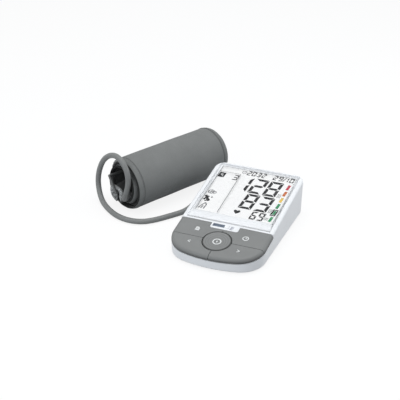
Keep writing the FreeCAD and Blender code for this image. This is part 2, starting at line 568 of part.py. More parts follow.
def electronics():
    inset = outline_body("board_outline", "foot_height", PANEL_TOP, "wall + board_inset")
    slab = box("board_slab", "panel tool", "-board_width / 2", "board_front",
               f"{BOARD_TOP} - board_thickness", "board_width", "board_back - board_front",
               "board_thickness")
    chips = [box(f"chip_{index}", "panel tool", x, f"{y} * board_back",
                 f"{BOARD_TOP} - board_thickness - chip_height", f"{length} * chip_height",
                 f"{width} * chip_height", "chip_height")
             for index, (x, y, length, width) in enumerate((
                 ("-0.1 * board_width", "0.46", "10", "10"),
                 ("buzzer_x - buzzer_radius - chip_gap - 5 * chip_height", "0.68", "5", "3.6"),
                 ("-0.28 * board_width", "0.33", "4.3", "6.4")))]
    node("main_board", joined("main_board", shared("board_shape", slab, inset), *chips), "base")
    low = f"{BOARD_TOP} - board_thickness"
    case = box("sensor_case", "panel tool", "sensor_x - sensor_width / 2",
               "board_back - 1.5 * sensor_length", f"{low} - sensor_height", "sensor_width", "sensor_length", "sensor_height")
    port = cylinder("sensor_port", "base tool", "sensor_x", "board_back - sensor_length * 0.8",
                    "sensor_tube_z", "port_radius", "sensor_length * 0.8 + layer_gap", "Y")
    node("pressure_sensor", joined("pressure_sensor", case, port), "base")
    node("buzzer", cylinder("buzzer", "panel", "buzzer_x", "board_back - 4.5 * buzzer_radius",
                            f"{low} - buzzer_height", "buzzer_radius", "buzzer_height"))
    sheet_slab = box("dome_slab", "panel tool", "-board_width / 2 + 1", "board_front + 1",
                     BOARD_TOP, "board_width - 2", "tab_front - board_front - 2", "dome_sheet")
    flat = shared("dome_flat", sheet_slab, inset)
    domes = [cylinder(f"{name}_dome", "panel tool", x, y, BOARD_TOP, "dome_radius",
                      "dome_sheet + dome_height") for name, (x, y) in STEMS.items()]
    node("dome_sheet", joined("dome_sheet", flat, *domes), "base")
    ribbon = doc.addObject("PartDesign::Body", "ribbon")
    sketch = ribbon.newObject("Sketcher::SketchObject", "ribbon_side")
    sketch.AttachmentSupport = [(plane_of(ribbon, "YZ_Plane"), "")]
    sketch.MapMode = "FlatFace"
    film, bend, lap = size("ribbon_film"), size("ribbon_bend"), size("ribbon_lap")
    start_y = size("window_front") - size("tray_lip") - bend - size("layer_gap")
    end_y = min(size("board_back"), start_y + film) - size("ribbon_end_gap")
    tray_low = -(size("lens_sink") + size("lens_thickness") + size("lcd_gap")
                 + size("lcd_thickness") + size("tray_depth"))
    board_top = -(size("key_depth") + size("key_travel") + size("key_play") + size("shelf_wall")
                  + size("dome_gap") + size("dome_height") + size("dome_sheet"))
    turn_z = tray_low + size("ribbon_rise")
    corners = [Vector(start_y + bend, turn_z + bend, 0), Vector(start_y, turn_z, 0),
               Vector(end_y + lap, board_top + film, 0), Vector(end_y, board_top + film, 0),
               Vector(end_y, board_top, 0), Vector(end_y + lap + film, board_top, 0),
               Vector(start_y + film, turn_z - film * 2 / 3, 0),
               Vector(start_y + bend, turn_z + film, 0)]
    for first, last in zip(corners, corners[1:] + corners[:1]):
        sketch.addGeometry(Part.LineSegment(first, last), False)
    pad = ribbon.newObject("PartDesign::Pad", "ribbon_pad")
    pad.Profile = sketch
    pad.Midplane = True
    bind(pad, Length="board_width / 2")
    ribbon.Tip = pad
    node("lcd_ribbon", ribbon, "panel")


# ---- batteries ----
def batteries():
    cells = []
    contacts = []
    for index in range(4):
        x = f"({index} - 1.5) * cell_pitch"
        ahead = index % 2 == 0
        nub_y = "bay_front + contact_gap + cell_length" if ahead else "bay_front + contact_gap"
        can_y = "bay_front + contact_gap" if ahead else "bay_front + contact_gap + cell_nub"
        cells.append(cylinder(f"cell_can_{index}", "base tool", x, can_y, CELL_Z, "cell_radius",
                              "cell_length", "Y"))
        cells.append(cylinder(f"cell_nub_{index}", "base tool", x, nub_y, CELL_Z, "nub_radius",
                              "cell_nub", "Y"))
        spring_y = "bay_front + contact_thickness" if ahead else (
            f"bay_front + {BAY_LENGTH} - contact_gap")
        spring = doc.addObject("Part::Cone", f"spring_{index}")
        wide, narrow = ("spring_wide", "spring_narrow")[::1 if ahead else -1]
        bind(spring, Radius1=wide, Radius2=narrow, Height="contact_gap - contact_thickness")
        contacts.append(seat(spring, "base tool", x, spring_y, CELL_Z, ALONG["Y"]))
        for end, y in (("front", "bay_front"), ("back", f"bay_front + {BAY_LENGTH}"
                                                         " - contact_thickness")):
            contacts.append(box(f"plate_{end}_{index}", "base tool", f"{x} - contact_width / 2", y,
                                f"{CELL_Z} - contact_width / 2", "contact_width",
                                "contact_thickness", "contact_width"))
    node("battery_cells", joined("battery_cells", *cells), "base")
    node("battery_contacts", joined("battery_contacts", *contacts), "base")
    inner = f"(2 * {BAY_HALF} - 2 * door_play)"
    plate = box("door_plate", "base tool", f"-{inner} / 2",
                "bay_front + door_play + door_thickness / 2", "foot_height", inner,
                f"{BAY_LENGTH} - 2 * door_play - door_thickness / 2", "door_thickness")
    barrel = cylinder("door_barrel", "base tool", f"-{inner} / 2",
                      "bay_front + door_play + door_thickness / 2",
                      "foot_height + door_thickness / 2", "door_thickness / 2", inner, "X")
    pin = cylinder("door_pins", "base tool", f"-{BAY_HALF} - hinge_pin_length",
                   "bay_front + door_play + door_thickness / 2",
                   "foot_height + door_thickness / 2", "hinge_pin",
                   f"2 * {BAY_HALF} + 2 * hinge_pin_length", "X")
    grip = box("door_grip", "base tool", "-9", f"bay_front + {BAY_LENGTH} - door_play - 7",
               "0", "18", "4", "foot_height + door_thickness / 3")
    ribs = [box(f"door_rib_{index}", "base tool", f"{x} - 0.6", "bay_front + 12",
                "foot_height + door_thickness / 2", "1.2", f"{BAY_LENGTH} - 24",
                "door_thickness / 2 + cell_gap + 2.4")
            for index, x in enumerate(("-cell_pitch", "0", "cell_pitch"))]
    node("battery_door", carved("battery_door", joined("door_body", plate, barrel, pin, *ribs), grip),
         "base")


# ---- air parts inside the unit ----
def air_parts():
    joint_x = "pump_left + pump_length - motor_length"
    can = cylinder("can_block", "base tool", joint_x, "pump_y", PUMP_Z, "pump_radius",
                   "motor_length", "X")
    can_space = cylinder("motor_space", "base tool", f"{joint_x} + can_wall", "pump_y", PUMP_Z,
                         "pump_radius - can_wall", "motor_length - 2 * can_wall", "X")
    can_bore = cylinder("motor_bore", "base tool", f"{joint_x} - wall", "pump_y", PUMP_Z,
                        "shaft_radius + shaft_play", "motor_length + 2 * wall", "X")
    node("motor_can", carved("motor_can_hollow", can, can_space, can_bore), "base")
    armature = cylinder("armature", "base tool", f"{joint_x} + can_wall + rotor_play", "pump_y",
                        PUMP_Z, "pump_radius - can_wall - rotor_play",
                        "motor_length - 2 * can_wall - 2 * rotor_play", "X")
    shaft = cylinder("shaft", "base tool", f"{joint_x} - 4", "pump_y", PUMP_Z, "shaft_radius",
                     "motor_length + 6", "X")
    node("motor_rotor", joined("motor_rotor", armature, shaft), "base")
    head = cylinder("head_block", "base tool", "pump_left", "pump_y", PUMP_Z, "pump_radius - 1",
                    "pump_length - motor_length", "X")
    nozzle = cylinder("head_nozzle", "base tool", "manifold_end", "pump_y", PUMP_Z, "2",
                      "pump_left + 1 - manifold_end", "X")
    head_bore = cylinder("head_bore", "base tool", f"{joint_x} - 6", "pump_y", PUMP_Z,
                         "shaft_radius + shaft_play", "7", "X")
    node("pump_head", carved("pump_head", joined("head_body", head, nozzle), head_bore), "base")
    tube = cylinder("socket_tube", "base tool", "wall_x", "socket_y", "socket_z", "socket_radius",
                    "socket_depth", "X")
    flange = cylinder("socket_flange", "base tool", "wall_x + wall + socket_play + 0.4",
                      "socket_y", "socket_z", "socket_radius + 1", "1.5", "X")
    bore = cylinder("socket_bore_tool", "base tool", "wall_x - 1", "socket_y", "socket_z",
                    "socket_bore", "socket_depth - 1", "X")
    node("air_socket", carved("air_socket", joined("socket_body", tube, flange), bore), "base")
    node("air_manifold", box("air_manifold", "base", SOCKET_END, "socket_y - manifold_length / 3",
                             "socket_z - manifold_drop", "manifold_end - " + SOCKET_END,
                             "manifold_length", "manifold_height"))
    node("sensor_tube", cylinder("sensor_tube", "base", "sensor_x", "board_back + layer_gap",
                                 "sensor_tube_z", "tube_radius",
                                 "socket_y - manifold_length / 3 - board_back - layer_gap", "Y"))
    case = cylinder("valve_case", "base tool", "valve_x", "valve_front", "socket_z",
                    "valve_radius", "valve_length", "Y")
    hollow = cylinder("valve_hollow", "base tool", "valve_x", "valve_front + can_wall", "socket_z",
                      "plunger_radius + shaft_play", "valve_length", "Y")
    lid = cylinder("valve_lid", "base tool", "valve_x", "valve_front + valve_length - can_wall",
                   "socket_z", "valve_radius", "can_wall", "Y")
    port = cylinder("valve_port", "base tool", "valve_x + valve_radius - 0.6",
                    "valve_front + 4", "socket_z", "1.5", f"{SOCKET_END} - valve_x"
                    " - valve_radius + 0.6", "X")
    open_case = carved("valve_open", joined("valve_shell", case, port), hollow)
    node("exhaust_valve", joined("exhaust_valve", open_case, lid), "base")
    node("valve_plunger", cylinder("valve_plunger", "base", "valve_x",
                                   "valve_front + can_wall + 0.3", "socket_z", "plunger_radius",
                                   "valve_length - 2 * can_wall - plunger_travel - 0.6", "Y"))


def feet_and_screws():
    feet = [cylinder(f"foot_{index}", "base tool", x, y, "0", "foot_radius - screw_play",
                     "foot_height + foot_recess") for index, (x, y) in enumerate(FEET)]
    node("rubber_feet", joined("rubber_feet", *feet), "base")
    screws = []
    for index, (x, y) in enumerate(POSTS):
        screws.append(cylinder(f"head_{index}", "base tool", x, y, "foot_height",
                               "screw_head_radius", "screw_head_height"))
        screws.append(cylinder(f"shank_{index}", "base tool", x, y, "foot_height", "screw_radius",
                               "post_top - foot_height - wall - screw_head_height"))
    node("housing_screws", joined("housing_screws", *screws), "base")


# ---- air plug and hose ----
def air_plug():
    """Right-angle plug: a stub in the socket, an elbow beside the wall and a tail to the front."""
    stub = cylinder("plug_stub_pin", "base tool", "wall_x - 1", "socket_y", "socket_z",
                    "plug_stub", "plug_stub_length + 1", "X")
    barrel = cylinder("plug_barrel", "base tool", "wall_x - plug_reach", "socket_y", "socket_z",
                      "plug_radius", "plug_reach - 0.3", "X")
    tail = cylinder("plug_tail_tube", "base tool", "wall_x - plug_reach", "socket_y - plug_tail",
                    "socket_z", "plug_radius", "plug_tail", "Y")
    elbow = doc.addObject("Part::Sphere", "plug_elbow")
    bind(elbow, Radius="plug_radius")
    seat(elbow, "base tool", "wall_x - plug_reach", "socket_y", "socket_z")
    node("air_plug", joined("air_plug", stub, barrel, tail, elbow), "base")


def hose_path(points):
    """Straight runs joined by tangent arcs, as large as their runs allow; returns wire and radii."""
    edges, radii, start = [], [], points[0]
    for before, here, after in zip(points, points[1:], points[2:]):
        back, ahead = before - here, after - here
        half_turn = (math.pi - back.getAngle(ahead)) / 2
        reach = 0.45 * min(back.Length, ahead.Length)
        radii.append(reach / math.tan(half_turn))
        back.normalize()
        ahead.normalize()
        first, last = here + back * reach, here + ahead * reach
        inward = back + ahead
        inward.normalize()
        middle = here + inward * (radii[-1] / math.cos(half_turn) - radii[-1])
        edges.append(Part.LineSegment(start, first).toShape())
        edges.append(Part.Arc(first, middle, last).toShape())
        start = last
    edges.append(Part.LineSegment(start, points[-1]).toShape())
    return Part.Wire(edges), radii


def hose_route():
    """Points of the hose in the object's frame, from the cuff's nozzle to the air plug's tail."""
    spread = size("cuff_radius") / HOSE_ROLL_RADIUS
    roll = Vector(size("cuff_x"), size("cuff_y"), size("cuff_radius"))
    tail = Vector(size("monitor_x") + size("wall_x") - size("plug_reach"),
                  size("monitor_y") + size("socket_y") - size("plug_tail"), 0)
    return ([roll + Vector(*point) * spread for point in HOSE_FROM_CUFF]
            + [tail + Vector(*point) for point in HOSE_TO_PLUG])


def air_hose():
    route = hose_route()
    path, radii = hose_path(route)
    radius = size("hose_diameter") / 2
    start, direction = route[0], route[1] - route[0]
    section = Part.Wire(Part.Circle(start, direction, radius).toShape())
    tube = path.makePipeShell([section], True, True)
    print("hose radii", [round(value, 1) for value in radii], "length", round(path.Length, 1))
    print("hose volume ratio", round(tube.Volume / (math.pi * radius ** 2 * path.Length), 4))
    hose = doc.addObject("Part::Feature", "air_hose")
    hose.Shape = tube
    node("air_hose", hose)


# ---- cuff: a rolled wrap, seen from its left end with its own axis pointing out of that end ----
def cuff_placement():
    turn = Rotation(Vector(0, 0, 1), size("cuff_turn_angle") - 90) * Rotation(Vector(1, 0, 0), 90)
    return Placement(Vector(size("cuff_x"), size("cuff_y"), size("cuff_radius")), turn)


def polar(radius, degrees):
    return Vector(radius * math.cos(math.radians(degrees)), radius * math.sin(math.radians(degrees)), 0)


def roll_arcs():
    """Centre, middle-line radius and angles of each turn of the roll, from the outside in."""
    outer = size("cuff_radius") - size("wrap_thickness") / 2
    middle = outer - size("first_tuck")
    inner, loop = middle - size("second_tuck"), size("loop_radius")
    middle_centre = polar(outer - middle, OUTER_END_ANGLE)
    inner_centre = middle_centre + polar(middle - inner, MIDDLE_END_ANGLE)
    loop_centre = inner_centre + polar(inner - loop, INNER_END_ANGLE)
    return [(Vector(), outer, OUTER_START_ANGLE, OUTER_END_ANGLE),
            (middle_centre, middle, OUTER_END_ANGLE, MIDDLE_END_ANGLE),
            (inner_centre, inner, MIDDLE_END_ANGLE, INNER_END_ANGLE),
            (loop_centre, loop, INNER_END_ANGLE, LOOP_END_ANGLE)]


def arc_edge(centre, radius, first, last):
    ends = [centre + polar(radius, angle) for angle in (first, (first + last) / 2, last)]
    return Part.Arc(*ends).toShape()


def strip(arcs, inside, outside, front, back):
    """A layer that follows the roll, between two offsets from its middle line."""
    up = Vector(0, 0, front)
    arcs = [(centre + up, radius, first, last) for centre, radius, first, last in arcs]
    outer = [arc_edge(centre, radius + outside, first, last) for centre, radius, first, last in arcs]
    inner = [arc_edge(centre, radius + inside, first, last) for centre, radius, first, last in arcs]
    ends = []
    for centre, radius, angle in ((arcs[0][0], arcs[0][1], arcs[0][2]),
                                  (arcs[-1][0], arcs[-1][1], arcs[-1][3])):
        ends.append(Part.LineSegment(centre + polar(radius + inside, angle),
                                     centre + polar(radius + outside, angle)).toShape())
    wire = Part.Wire(Part.__sortEdges__(outer + inner + ends))
    return Part.Face(wire).extrude(Vector(0, 0, back - front))


def cuff_node(label, shape):
    feature = doc.addObject("Part::Feature", label)
    feature.Shape = shape
    feature.Placement = cuff_placement()
    node(label, feature)


def rod(start, end, radius):
    return Part.makeCylinder(radius, (end - start).Length, start, end - start)


def cuff():
    arcs = roll_arcs()
    wrap, loop = arcs[:3], arcs[3]
    half, gap = size("wrap_thickness") / 2, size("layer_gap")
    core = size("bladder_thickness") / 2 + gap
    edge, length = size("binding_width"), size("cuff_length")
    cuff_node("cuff_outer_fabric", strip(wrap, core, half, -edge, edge - length))
    cuff_node("cuff_lining", strip(wrap, -half, -core, -edge, edge - length))
    inset = size("bladder_inset")
    margin_angle = 40.0
    filled = [(arcs[0][0], arcs[0][1], OUTER_START_ANGLE - margin_angle, OUTER_END_ANGLE), arcs[1],
              (arcs[2][0], arcs[2][1], MIDDLE_END_ANGLE, INNER_END_ANGLE + margin_angle)]
    cuff_node("air_bladder", strip(filled, gap - core, core - gap, -inset, inset - length))
    cuff_node("left_edge_binding", strip(wrap, -half, half, 0, -edge))
    cuff_node("right_edge_binding", strip(wrap, -half, half, edge - length, -length))
    hook = [(arcs[0][0], arcs[0][1], HOOK_START_ANGLE, OUTER_START_ANGLE)]
    cuff_node("hook_strip", strip(hook, -core * 2, core * 2, -inset, inset - length))
    out = size("loop_out")
    padded = -half - size("loop_padding")
    cuff_node("cuff_end_loop", strip([loop], padded, half, out, -length - out))
    # steel ring whose one long side lies in the end loop
    wire, width = size("ring_wire"), size("ring_width")
    near, far = loop[0], loop[0] + polar(width, RING_ANGLE)
    front, back = Vector(0, 0, out + 1.2 * wire), Vector(0, 0, -length - out - 1.2 * wire)
    corners = [near + front, far + front, far + back, near + back]
    ring = [rod(first, last, wire) for first, last in zip(corners, corners[1:] + corners[:1])]
    ring += [Part.makeSphere(wire, corner) for corner in corners]
    cuff_node("slide_ring", ring[0].multiFuse(ring[1:]))
    # nozzle elbow that carries the hose out of the roll, made to meet the hose's first point
    radius, step = size("nozzle_radius"), size("nozzle_out")
    inverse = cuff_placement().inverse()
    route = hose_route()
    exit_point = inverse.multVec(route[0])
    heading = inverse.multVec(route[1]) - exit_point
    heading.normalize()
    elbow = exit_point - heading * step
    inner_end = Vector(elbow.x, elbow.y, elbow.z - 2.4 * step)
    outward = Vector(elbow.x, elbow.y, 0) - arcs[2][0]
    outward.z = 0
    outward.normalize()
    foot = Vector(elbow.x, elbow.y, inner_end.z + radius)
    reach = arcs[2][1] - half - gap - (Vector(elbow.x, elbow.y, 0) - arcs[2][0]).Length
    parts = [rod(elbow, exit_point, radius), rod(inner_end, elbow, radius),
             Part.makeSphere(radius, elbow)]
    if reach > 0:
        parts.append(rod(foot, foot + outward * reach, radius * 0.7))
    cuff_node("hose_nozzle", parts[0].multiFuse(parts[1:]))
    print("nozzle elbow", elbow, "reach to lining", round(reach, 2))


bottom_housing()
top_housing()
keys()
start_key()
selector()
display()
electronics()
batteries()
air_parts()
feet_and_screws()
air_plug()
air_hose()
cuff()
doc.recompute()

faults = [item.Name for item in doc.Objects if "Invalid" in item.State or "Error" in item.State]
faults += [item.Label for item in NODES if item.Shape.isNull() or not item.Shape.isValid()]
if faults:
    raise SystemExit("failed: " + ", ".join(faults))
os.makedirs("parts", exist_ok=True)
for item in NODES:
    item.Shape.exportStep(os.path.join("parts", item.Label + ".step"))
print(len(NODES), "nodes written")
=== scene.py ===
import math

import bmesh
import bpy
from mathutils import Matrix, Vector, noise


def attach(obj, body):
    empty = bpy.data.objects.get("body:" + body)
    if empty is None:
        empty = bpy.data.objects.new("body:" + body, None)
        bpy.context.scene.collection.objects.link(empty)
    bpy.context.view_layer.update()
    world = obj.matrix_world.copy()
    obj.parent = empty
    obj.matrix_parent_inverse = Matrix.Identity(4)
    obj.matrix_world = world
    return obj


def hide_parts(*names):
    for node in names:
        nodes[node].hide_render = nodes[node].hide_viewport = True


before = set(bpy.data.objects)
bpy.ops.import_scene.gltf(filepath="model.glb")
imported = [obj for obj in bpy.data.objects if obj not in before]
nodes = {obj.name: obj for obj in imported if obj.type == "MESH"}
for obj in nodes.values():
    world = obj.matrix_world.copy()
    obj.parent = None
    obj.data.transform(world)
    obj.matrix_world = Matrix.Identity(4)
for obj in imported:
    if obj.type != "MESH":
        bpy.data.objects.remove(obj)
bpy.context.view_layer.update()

# ---------------------------------------------------------------- places
# Pieces are drawn in millimetres in one of these frames, then placed in metres.
MM = Matrix.Scale(0.001, 4)
PANEL_TILT = math.radians(9.5)
UNIT_AT = Matrix.Translation((0.0579, -0.1172, 0))
PANEL = UNIT_AT @ Matrix.Translation((0, 0, 0.0172)) @ Matrix.Rotation(PANEL_TILT, 4, "X") @ MM
CUFF = (Matrix.Translation((-0.0859, -0.0248, 0.0314)) @ Matrix.Rotation(math.radians(-25.7), 4, "Z")
        @ Matrix.Rotation(math.radians(90), 4, "X") @ MM)

LCD_DEPTH = -2.1       # front of the display glass under the sloping panel
LENS_TOP = -0.1
KEY_TOP = 0.0


# ---------------------------------------------------------------- shader building
def shader_group(name, inputs, outputs):
    """A reusable pattern: named inputs with defaults, and outputs that change over the surface."""
    group = bpy.data.node_groups.new(name, "ShaderNodeTree")
    for title, (kind, default) in inputs.items():
        socket = group.interface.new_socket(title, in_out="INPUT", socket_type="NodeSocket" + kind)
        if default is not None:
            socket.default_value = default
    for title, kind in outputs.items():
        group.interface.new_socket(title, in_out="OUTPUT", socket_type="NodeSocket" + kind)
    return group, group.nodes.new("NodeGroupInput").outputs, group.nodes.new("NodeGroupOutput").inputs


def set_or_link(tree, socket, value):
    if isinstance(value, (int, float)):
        socket.default_value = value
    else:
        tree.links.new(value, socket)


def math_node(tree, operation, first, second=None):
    node = tree.nodes.new("ShaderNodeMath")
    node.operation = operation
    set_or_link(tree, node.inputs[0], first)
    if second is not None:
        set_or_link(tree, node.inputs[1], second)
    return node.outputs[0]


def noise_node(tree, vector, scale, detail=3.0, roughness=0.5):
    node = tree.nodes.new("ShaderNodeTexNoise")
    tree.links.new(vector, node.inputs["Vector"])
    set_or_link(tree, node.inputs["Scale"], scale)
    node.inputs["Detail"].default_value = detail
    node.inputs["Roughness"].default_value = roughness
    return node.outputs["Fac"]


def remap(tree, value, low, high, new_low, new_high):
    node = tree.nodes.new("ShaderNodeMapRange")
    tree.links.new(value, node.inputs["Value"])
    for title, number in (("From Min", low), ("From Max", high), ("To Min", new_low), ("To Max", new_high)):
        node.inputs[title].default_value = number
    return node.outputs["Result"]


def full_range(tree, value, low=0.3, high=0.7):
    """Stretch the values between two limits over 0 to 1."""
    return remap(tree, value, low, high, 0.0, 1.0)


def clamped(tree, value):
    return math_node(tree, "MINIMUM", math_node(tree, "MAXIMUM", value, 0.0), 1.0)


def separate(tree, vector):
    split = tree.nodes.new("ShaderNodeSeparateXYZ")
    tree.links.new(vector, split.inputs[0])
    return split.outputs


def color_mix(tree, factor):
    mix = tree.nodes.new("ShaderNodeMix")
    mix.data_type = "RGBA"
    tree.links.new(factor, mix.inputs["Factor"])
    return mix


def seen_directly(tree):
    """1 for what the camera sees, also by reflection or through glass, and 0 for scattered light."""
    path = tree.nodes.new("ShaderNodeLightPath")
    indirect = math_node(tree, "MAXIMUM", path.outputs["Is Glossy Ray"], path.outputs["Is Transmission Ray"])
    return math_node(tree, "MAXIMUM", path.outputs["Is Camera Ray"], indirect)


def mix_shaders(tree, factor, first, second, target):
    mix = tree.nodes.new("ShaderNodeMixShader")
    tree.links.new(factor, mix.inputs["Fac"])
    tree.links.new(first.outputs[0], mix.inputs[1])
    tree.links.new(second.outputs[0], mix.inputs[2])
    tree.links.new(mix.outputs[0], target.inputs["Surface"])


def make_moulded_grain():
    """Fine spark-eroded grain with broad, faint unevenness, as on injection-moulded plastic."""
    group, given, result = shader_group(
        "moulded grain", {"Vector": ("Vector", None), "Grain": ("Float", 2600.0)},
        {"Height": "Float", "Tone": "Float", "Gloss": "Float"})
    fine = noise_node(group, given["Vector"], given["Grain"], 2.0)
    broad = noise_node(group, given["Vector"], 38.0, 2.0)
    flow = noise_node(group, given["Vector"], 210.0, 3.0)
    group.links.new(fine, result["Height"])
    group.links.new(full_range(group, broad), result["Tone"])
    group.links.new(full_range(group, flow), result["Gloss"])
    return group


def make_plain_weave():
    """Over-and-under threads on a cloth's own length and width, given in metres."""
    group, given, result = shader_group(
        "plain weave", {"Vector": ("Vector", None), "Pitch": ("Float", 0.0007)},
        {"Height": "Float", "Thread": "Float", "Slub": "Float"})
    split = separate(group, given["Vector"])
    along = math_node(group, "DIVIDE", split[0], given["Pitch"])
    across = math_node(group, "DIVIDE", split[1], given["Pitch"])

    def threads_over(place):
        wave = math_node(group, "SINE", math_node(group, "MULTIPLY", place, math.pi))
        return math_node(group, "ABSOLUTE", wave)

    cells = math_node(group, "ADD", math_node(group, "FLOOR", along), math_node(group, "FLOOR", across))
    over = math_node(group, "PINGPONG", cells, 1.0)
    mix = group.nodes.new("ShaderNodeMix")
    group.links.new(over, mix.inputs["Factor"])
    group.links.new(threads_over(along), mix.inputs["A"])
    group.links.new(threads_over(across), mix.inputs["B"])
    group.links.new(mix.outputs["Result"], result["Height"])
    threads = noise_node(group, given["Vector"], 900.0, 2.0)
    group.links.new(full_range(group, threads), result["Thread"])
    slub = noise_node(group, given["Vector"], 45.0, 4.0, 0.6)
    group.links.new(full_range(group, slub), result["Slub"])
    return group


def make_settled_dust():
    """Faint dust on faces that look up, gathered in soft patches."""
    group, given, result = shader_group(
        "settled dust", {"Vector": ("Vector", None), "Normal": ("Vector", None)}, {"Dust": "Float"})
    up = full_range(group, separate(group, given["Normal"])[2], 0.4, 1.0)
    patches = full_range(group, noise_node(group, given["Vector"], 60.0, 5.0, 0.65), 0.42, 0.75)
    group.links.new(math_node(group, "MULTIPLY", up, patches), result["Dust"])
    return group


def make_turned_rings():
    """Fine concentric rings about the Z axis of the given place, and a mask of its outer rim."""
    group, given, result = shader_group(
        "turned rings", {"Vector": ("Vector", None), "Pitch": ("Float", 0.0011), "Rim": ("Float", 0.0152)},
        {"Height": "Float", "Rim": "Float"})
    flat = group.nodes.new("ShaderNodeVectorMath")
    flat.operation = "MULTIPLY"
    group.links.new(given["Vector"], flat.inputs[0])
    flat.inputs[1].default_value = (1, 1, 0)
    reach = group.nodes.new("ShaderNodeVectorMath")
    reach.operation = "LENGTH"
    group.links.new(flat.outputs["Vector"], reach.inputs[0])
    distance = reach.outputs["Value"]
    turns = math_node(group, "DIVIDE", distance, given["Pitch"])
    wave = math_node(group, "SINE", math_node(group, "MULTIPLY", turns, math.tau))
    group.links.new(full_range(group, wave, -1.0, 1.0), result["Height"])
    beyond = math_node(group, "DIVIDE", math_node(group, "SUBTRACT", distance, given["Rim"]), 0.0008)
    group.links.new(clamped(group, beyond), result["Rim"])
    return group


def make_seam_line():
    """A soft groove at one place across the cloth's width, also used as the mask of painted shade along the
    seam.
    """
    group, given, result = shader_group(
        "seam line", {"Vector": ("Vector", None), "Seam": ("Float", 0.0), "Width": ("Float", 0.0008)},
        {"Groove": "Float"})
    split = separate(group, given["Vector"])
    away = math_node(group, "ABSOLUTE", math_node(group, "SUBTRACT", split[1], given["Seam"]))
    near = math_node(group, "SUBTRACT", 1.0, math_node(group, "DIVIDE", away, given["Width"]))
    group.links.new(math_node(group, "MAXIMUM", near, 0.0), result["Groove"])
    return group


def make_painted_rim_shade():
    """Painted shade that grows from a moulding's face down to its lower edge, beside the next part."""
    group, given, result = shader_group(
        "painted rim shade", {"Vector": ("Vector", None), "Top": ("Float", -0.003), "Foot": ("Float", -0.005)},
        {"Shade": "Float"})
    split = separate(group, given["Vector"])
    drop = math_node(group, "SUBTRACT", given["Top"], split[2])
    depth = math_node(group, "SUBTRACT", given["Top"], given["Foot"])
    share = clamped(group, math_node(group, "DIVIDE", drop, depth))
    group.links.new(math_node(group, "MULTIPLY", share, share), result["Shade"])
    return group


MOULDED_GRAIN = make_moulded_grain()
PLAIN_WEAVE = make_plain_weave()
SETTLED_DUST = make_settled_dust()
TURNED_RINGS = make_turned_rings()
SEAM_LINE = make_seam_line()
PAINTED_RIM_SHADE = make_painted_rim_shade()


class Finish:
    """One material: its tree, its Principled shader and the coordinates its patterns follow."""

    def __init__(self, name, color, roughness, metallic=0.0, specular=0.5, uses_uv=False):
        self.material = bpy.data.materials.new(name)
        self.material.use_nodes = True
        self.tree = self.material.node_tree
        self.shader = self.tree.nodes["Principled BSDF"]
        self.color = color
        coordinates = self.tree.nodes.new("ShaderNodeTexCoord")
        self.place = coordinates.outputs["UV" if uses_uv else "Object"]
        self.facing = coordinates.outputs["Normal"]
        self.set("Base Color", (*color, 1))
        self.set("Roughness", roughness)
        self.set("Metallic", metallic)
        self.set("Specular IOR Level", specular)

    def set(self, title, value):
        self.shader.inputs[title].default_value = value

    def feed(self, title, output):
        self.tree.links.new(output, self.shader.inputs[title])

    def centred(self, spot, tilt=0.0):
        """The same coordinates, measured from a spot on a tilted plane."""
        node = self.tree.nodes.new("ShaderNodeMapping")
        node.vector_type = "TEXTURE"
        node.inputs["Location"].default_value = spot
        node.inputs["Rotation"].default_value = (tilt, 0, 0)
        self.tree.links.new(self.place, node.inputs["Vector"])
        return node.outputs["Vector"]

    def group(self, group, place=None, **values):
        node = self.tree.nodes.new("ShaderNodeGroup")
        node.node_tree = group
        self.tree.links.new(place or self.place, node.inputs["Vector"])
        if "Normal" in node.inputs:
            self.tree.links.new(self.facing, node.inputs["Normal"])
        for title, value in values.items():
            node.inputs[title].default_value = value
        return node.outputs

    def vary_color(self, factor, darker=0.9, lighter=1.06):
        """Shade the base colour between a darker and a lighter tone of itself."""
        mix = color_mix(self.tree, factor)
        mix.inputs["A"].default_value = (*[min(part * darker, 1) for part in self.color], 1)
        mix.inputs["B"].default_value = (*[min(part * lighter, 1) for part in self.color], 1)
        return mix.outputs["Result"]

    def blend_color(self, base, factor, color):
        mix = color_mix(self.tree, factor)
        self.tree.links.new(base, mix.inputs["A"])
        mix.inputs["B"].default_value = (*color, 1)
        return mix.outputs["Result"]

    def vary_gloss(self, gloss, low, high):
        self.feed("Roughness", remap(self.tree, gloss, 0, 1, low, high))

    def bump(self, height, strength, distance):
        node = self.tree.nodes.new("ShaderNodeBump")
        node.inputs["Strength"].default_value = strength
        node.inputs["Distance"].default_value = distance
        self.tree.links.new(height, node.inputs["Height"])
        self.feed("Normal", node.outputs["Normal"])


def moulded_plastic(name, color, roughness, grain=2600.0, depth=0.00002, dust=0.0, spread=0.04,
                    dust_color=(0.62, 0.62, 0.6), **more):
    """Injection-moulded plastic: fine grain, faint flow marks, a trace of dust."""
    finish = Finish(name, color, roughness, **more)
    pattern = finish.group(MOULDED_GRAIN, Grain=grain)
    tone = finish.vary_color(pattern["Tone"], 1 - spread, 1 + spread / 2)
    if dust:
        settled = finish.group(SETTLED_DUST)["Dust"]
        tone = finish.blend_color(tone, math_node(finish.tree, "MULTIPLY", settled, dust), dust_color)
    finish.feed("Base Color", tone)
    finish.vary_gloss(pattern["Gloss"], roughness - 0.05, roughness + 0.05)
    finish.bump(pattern["Height"], 0.35, depth)
    return finish.material


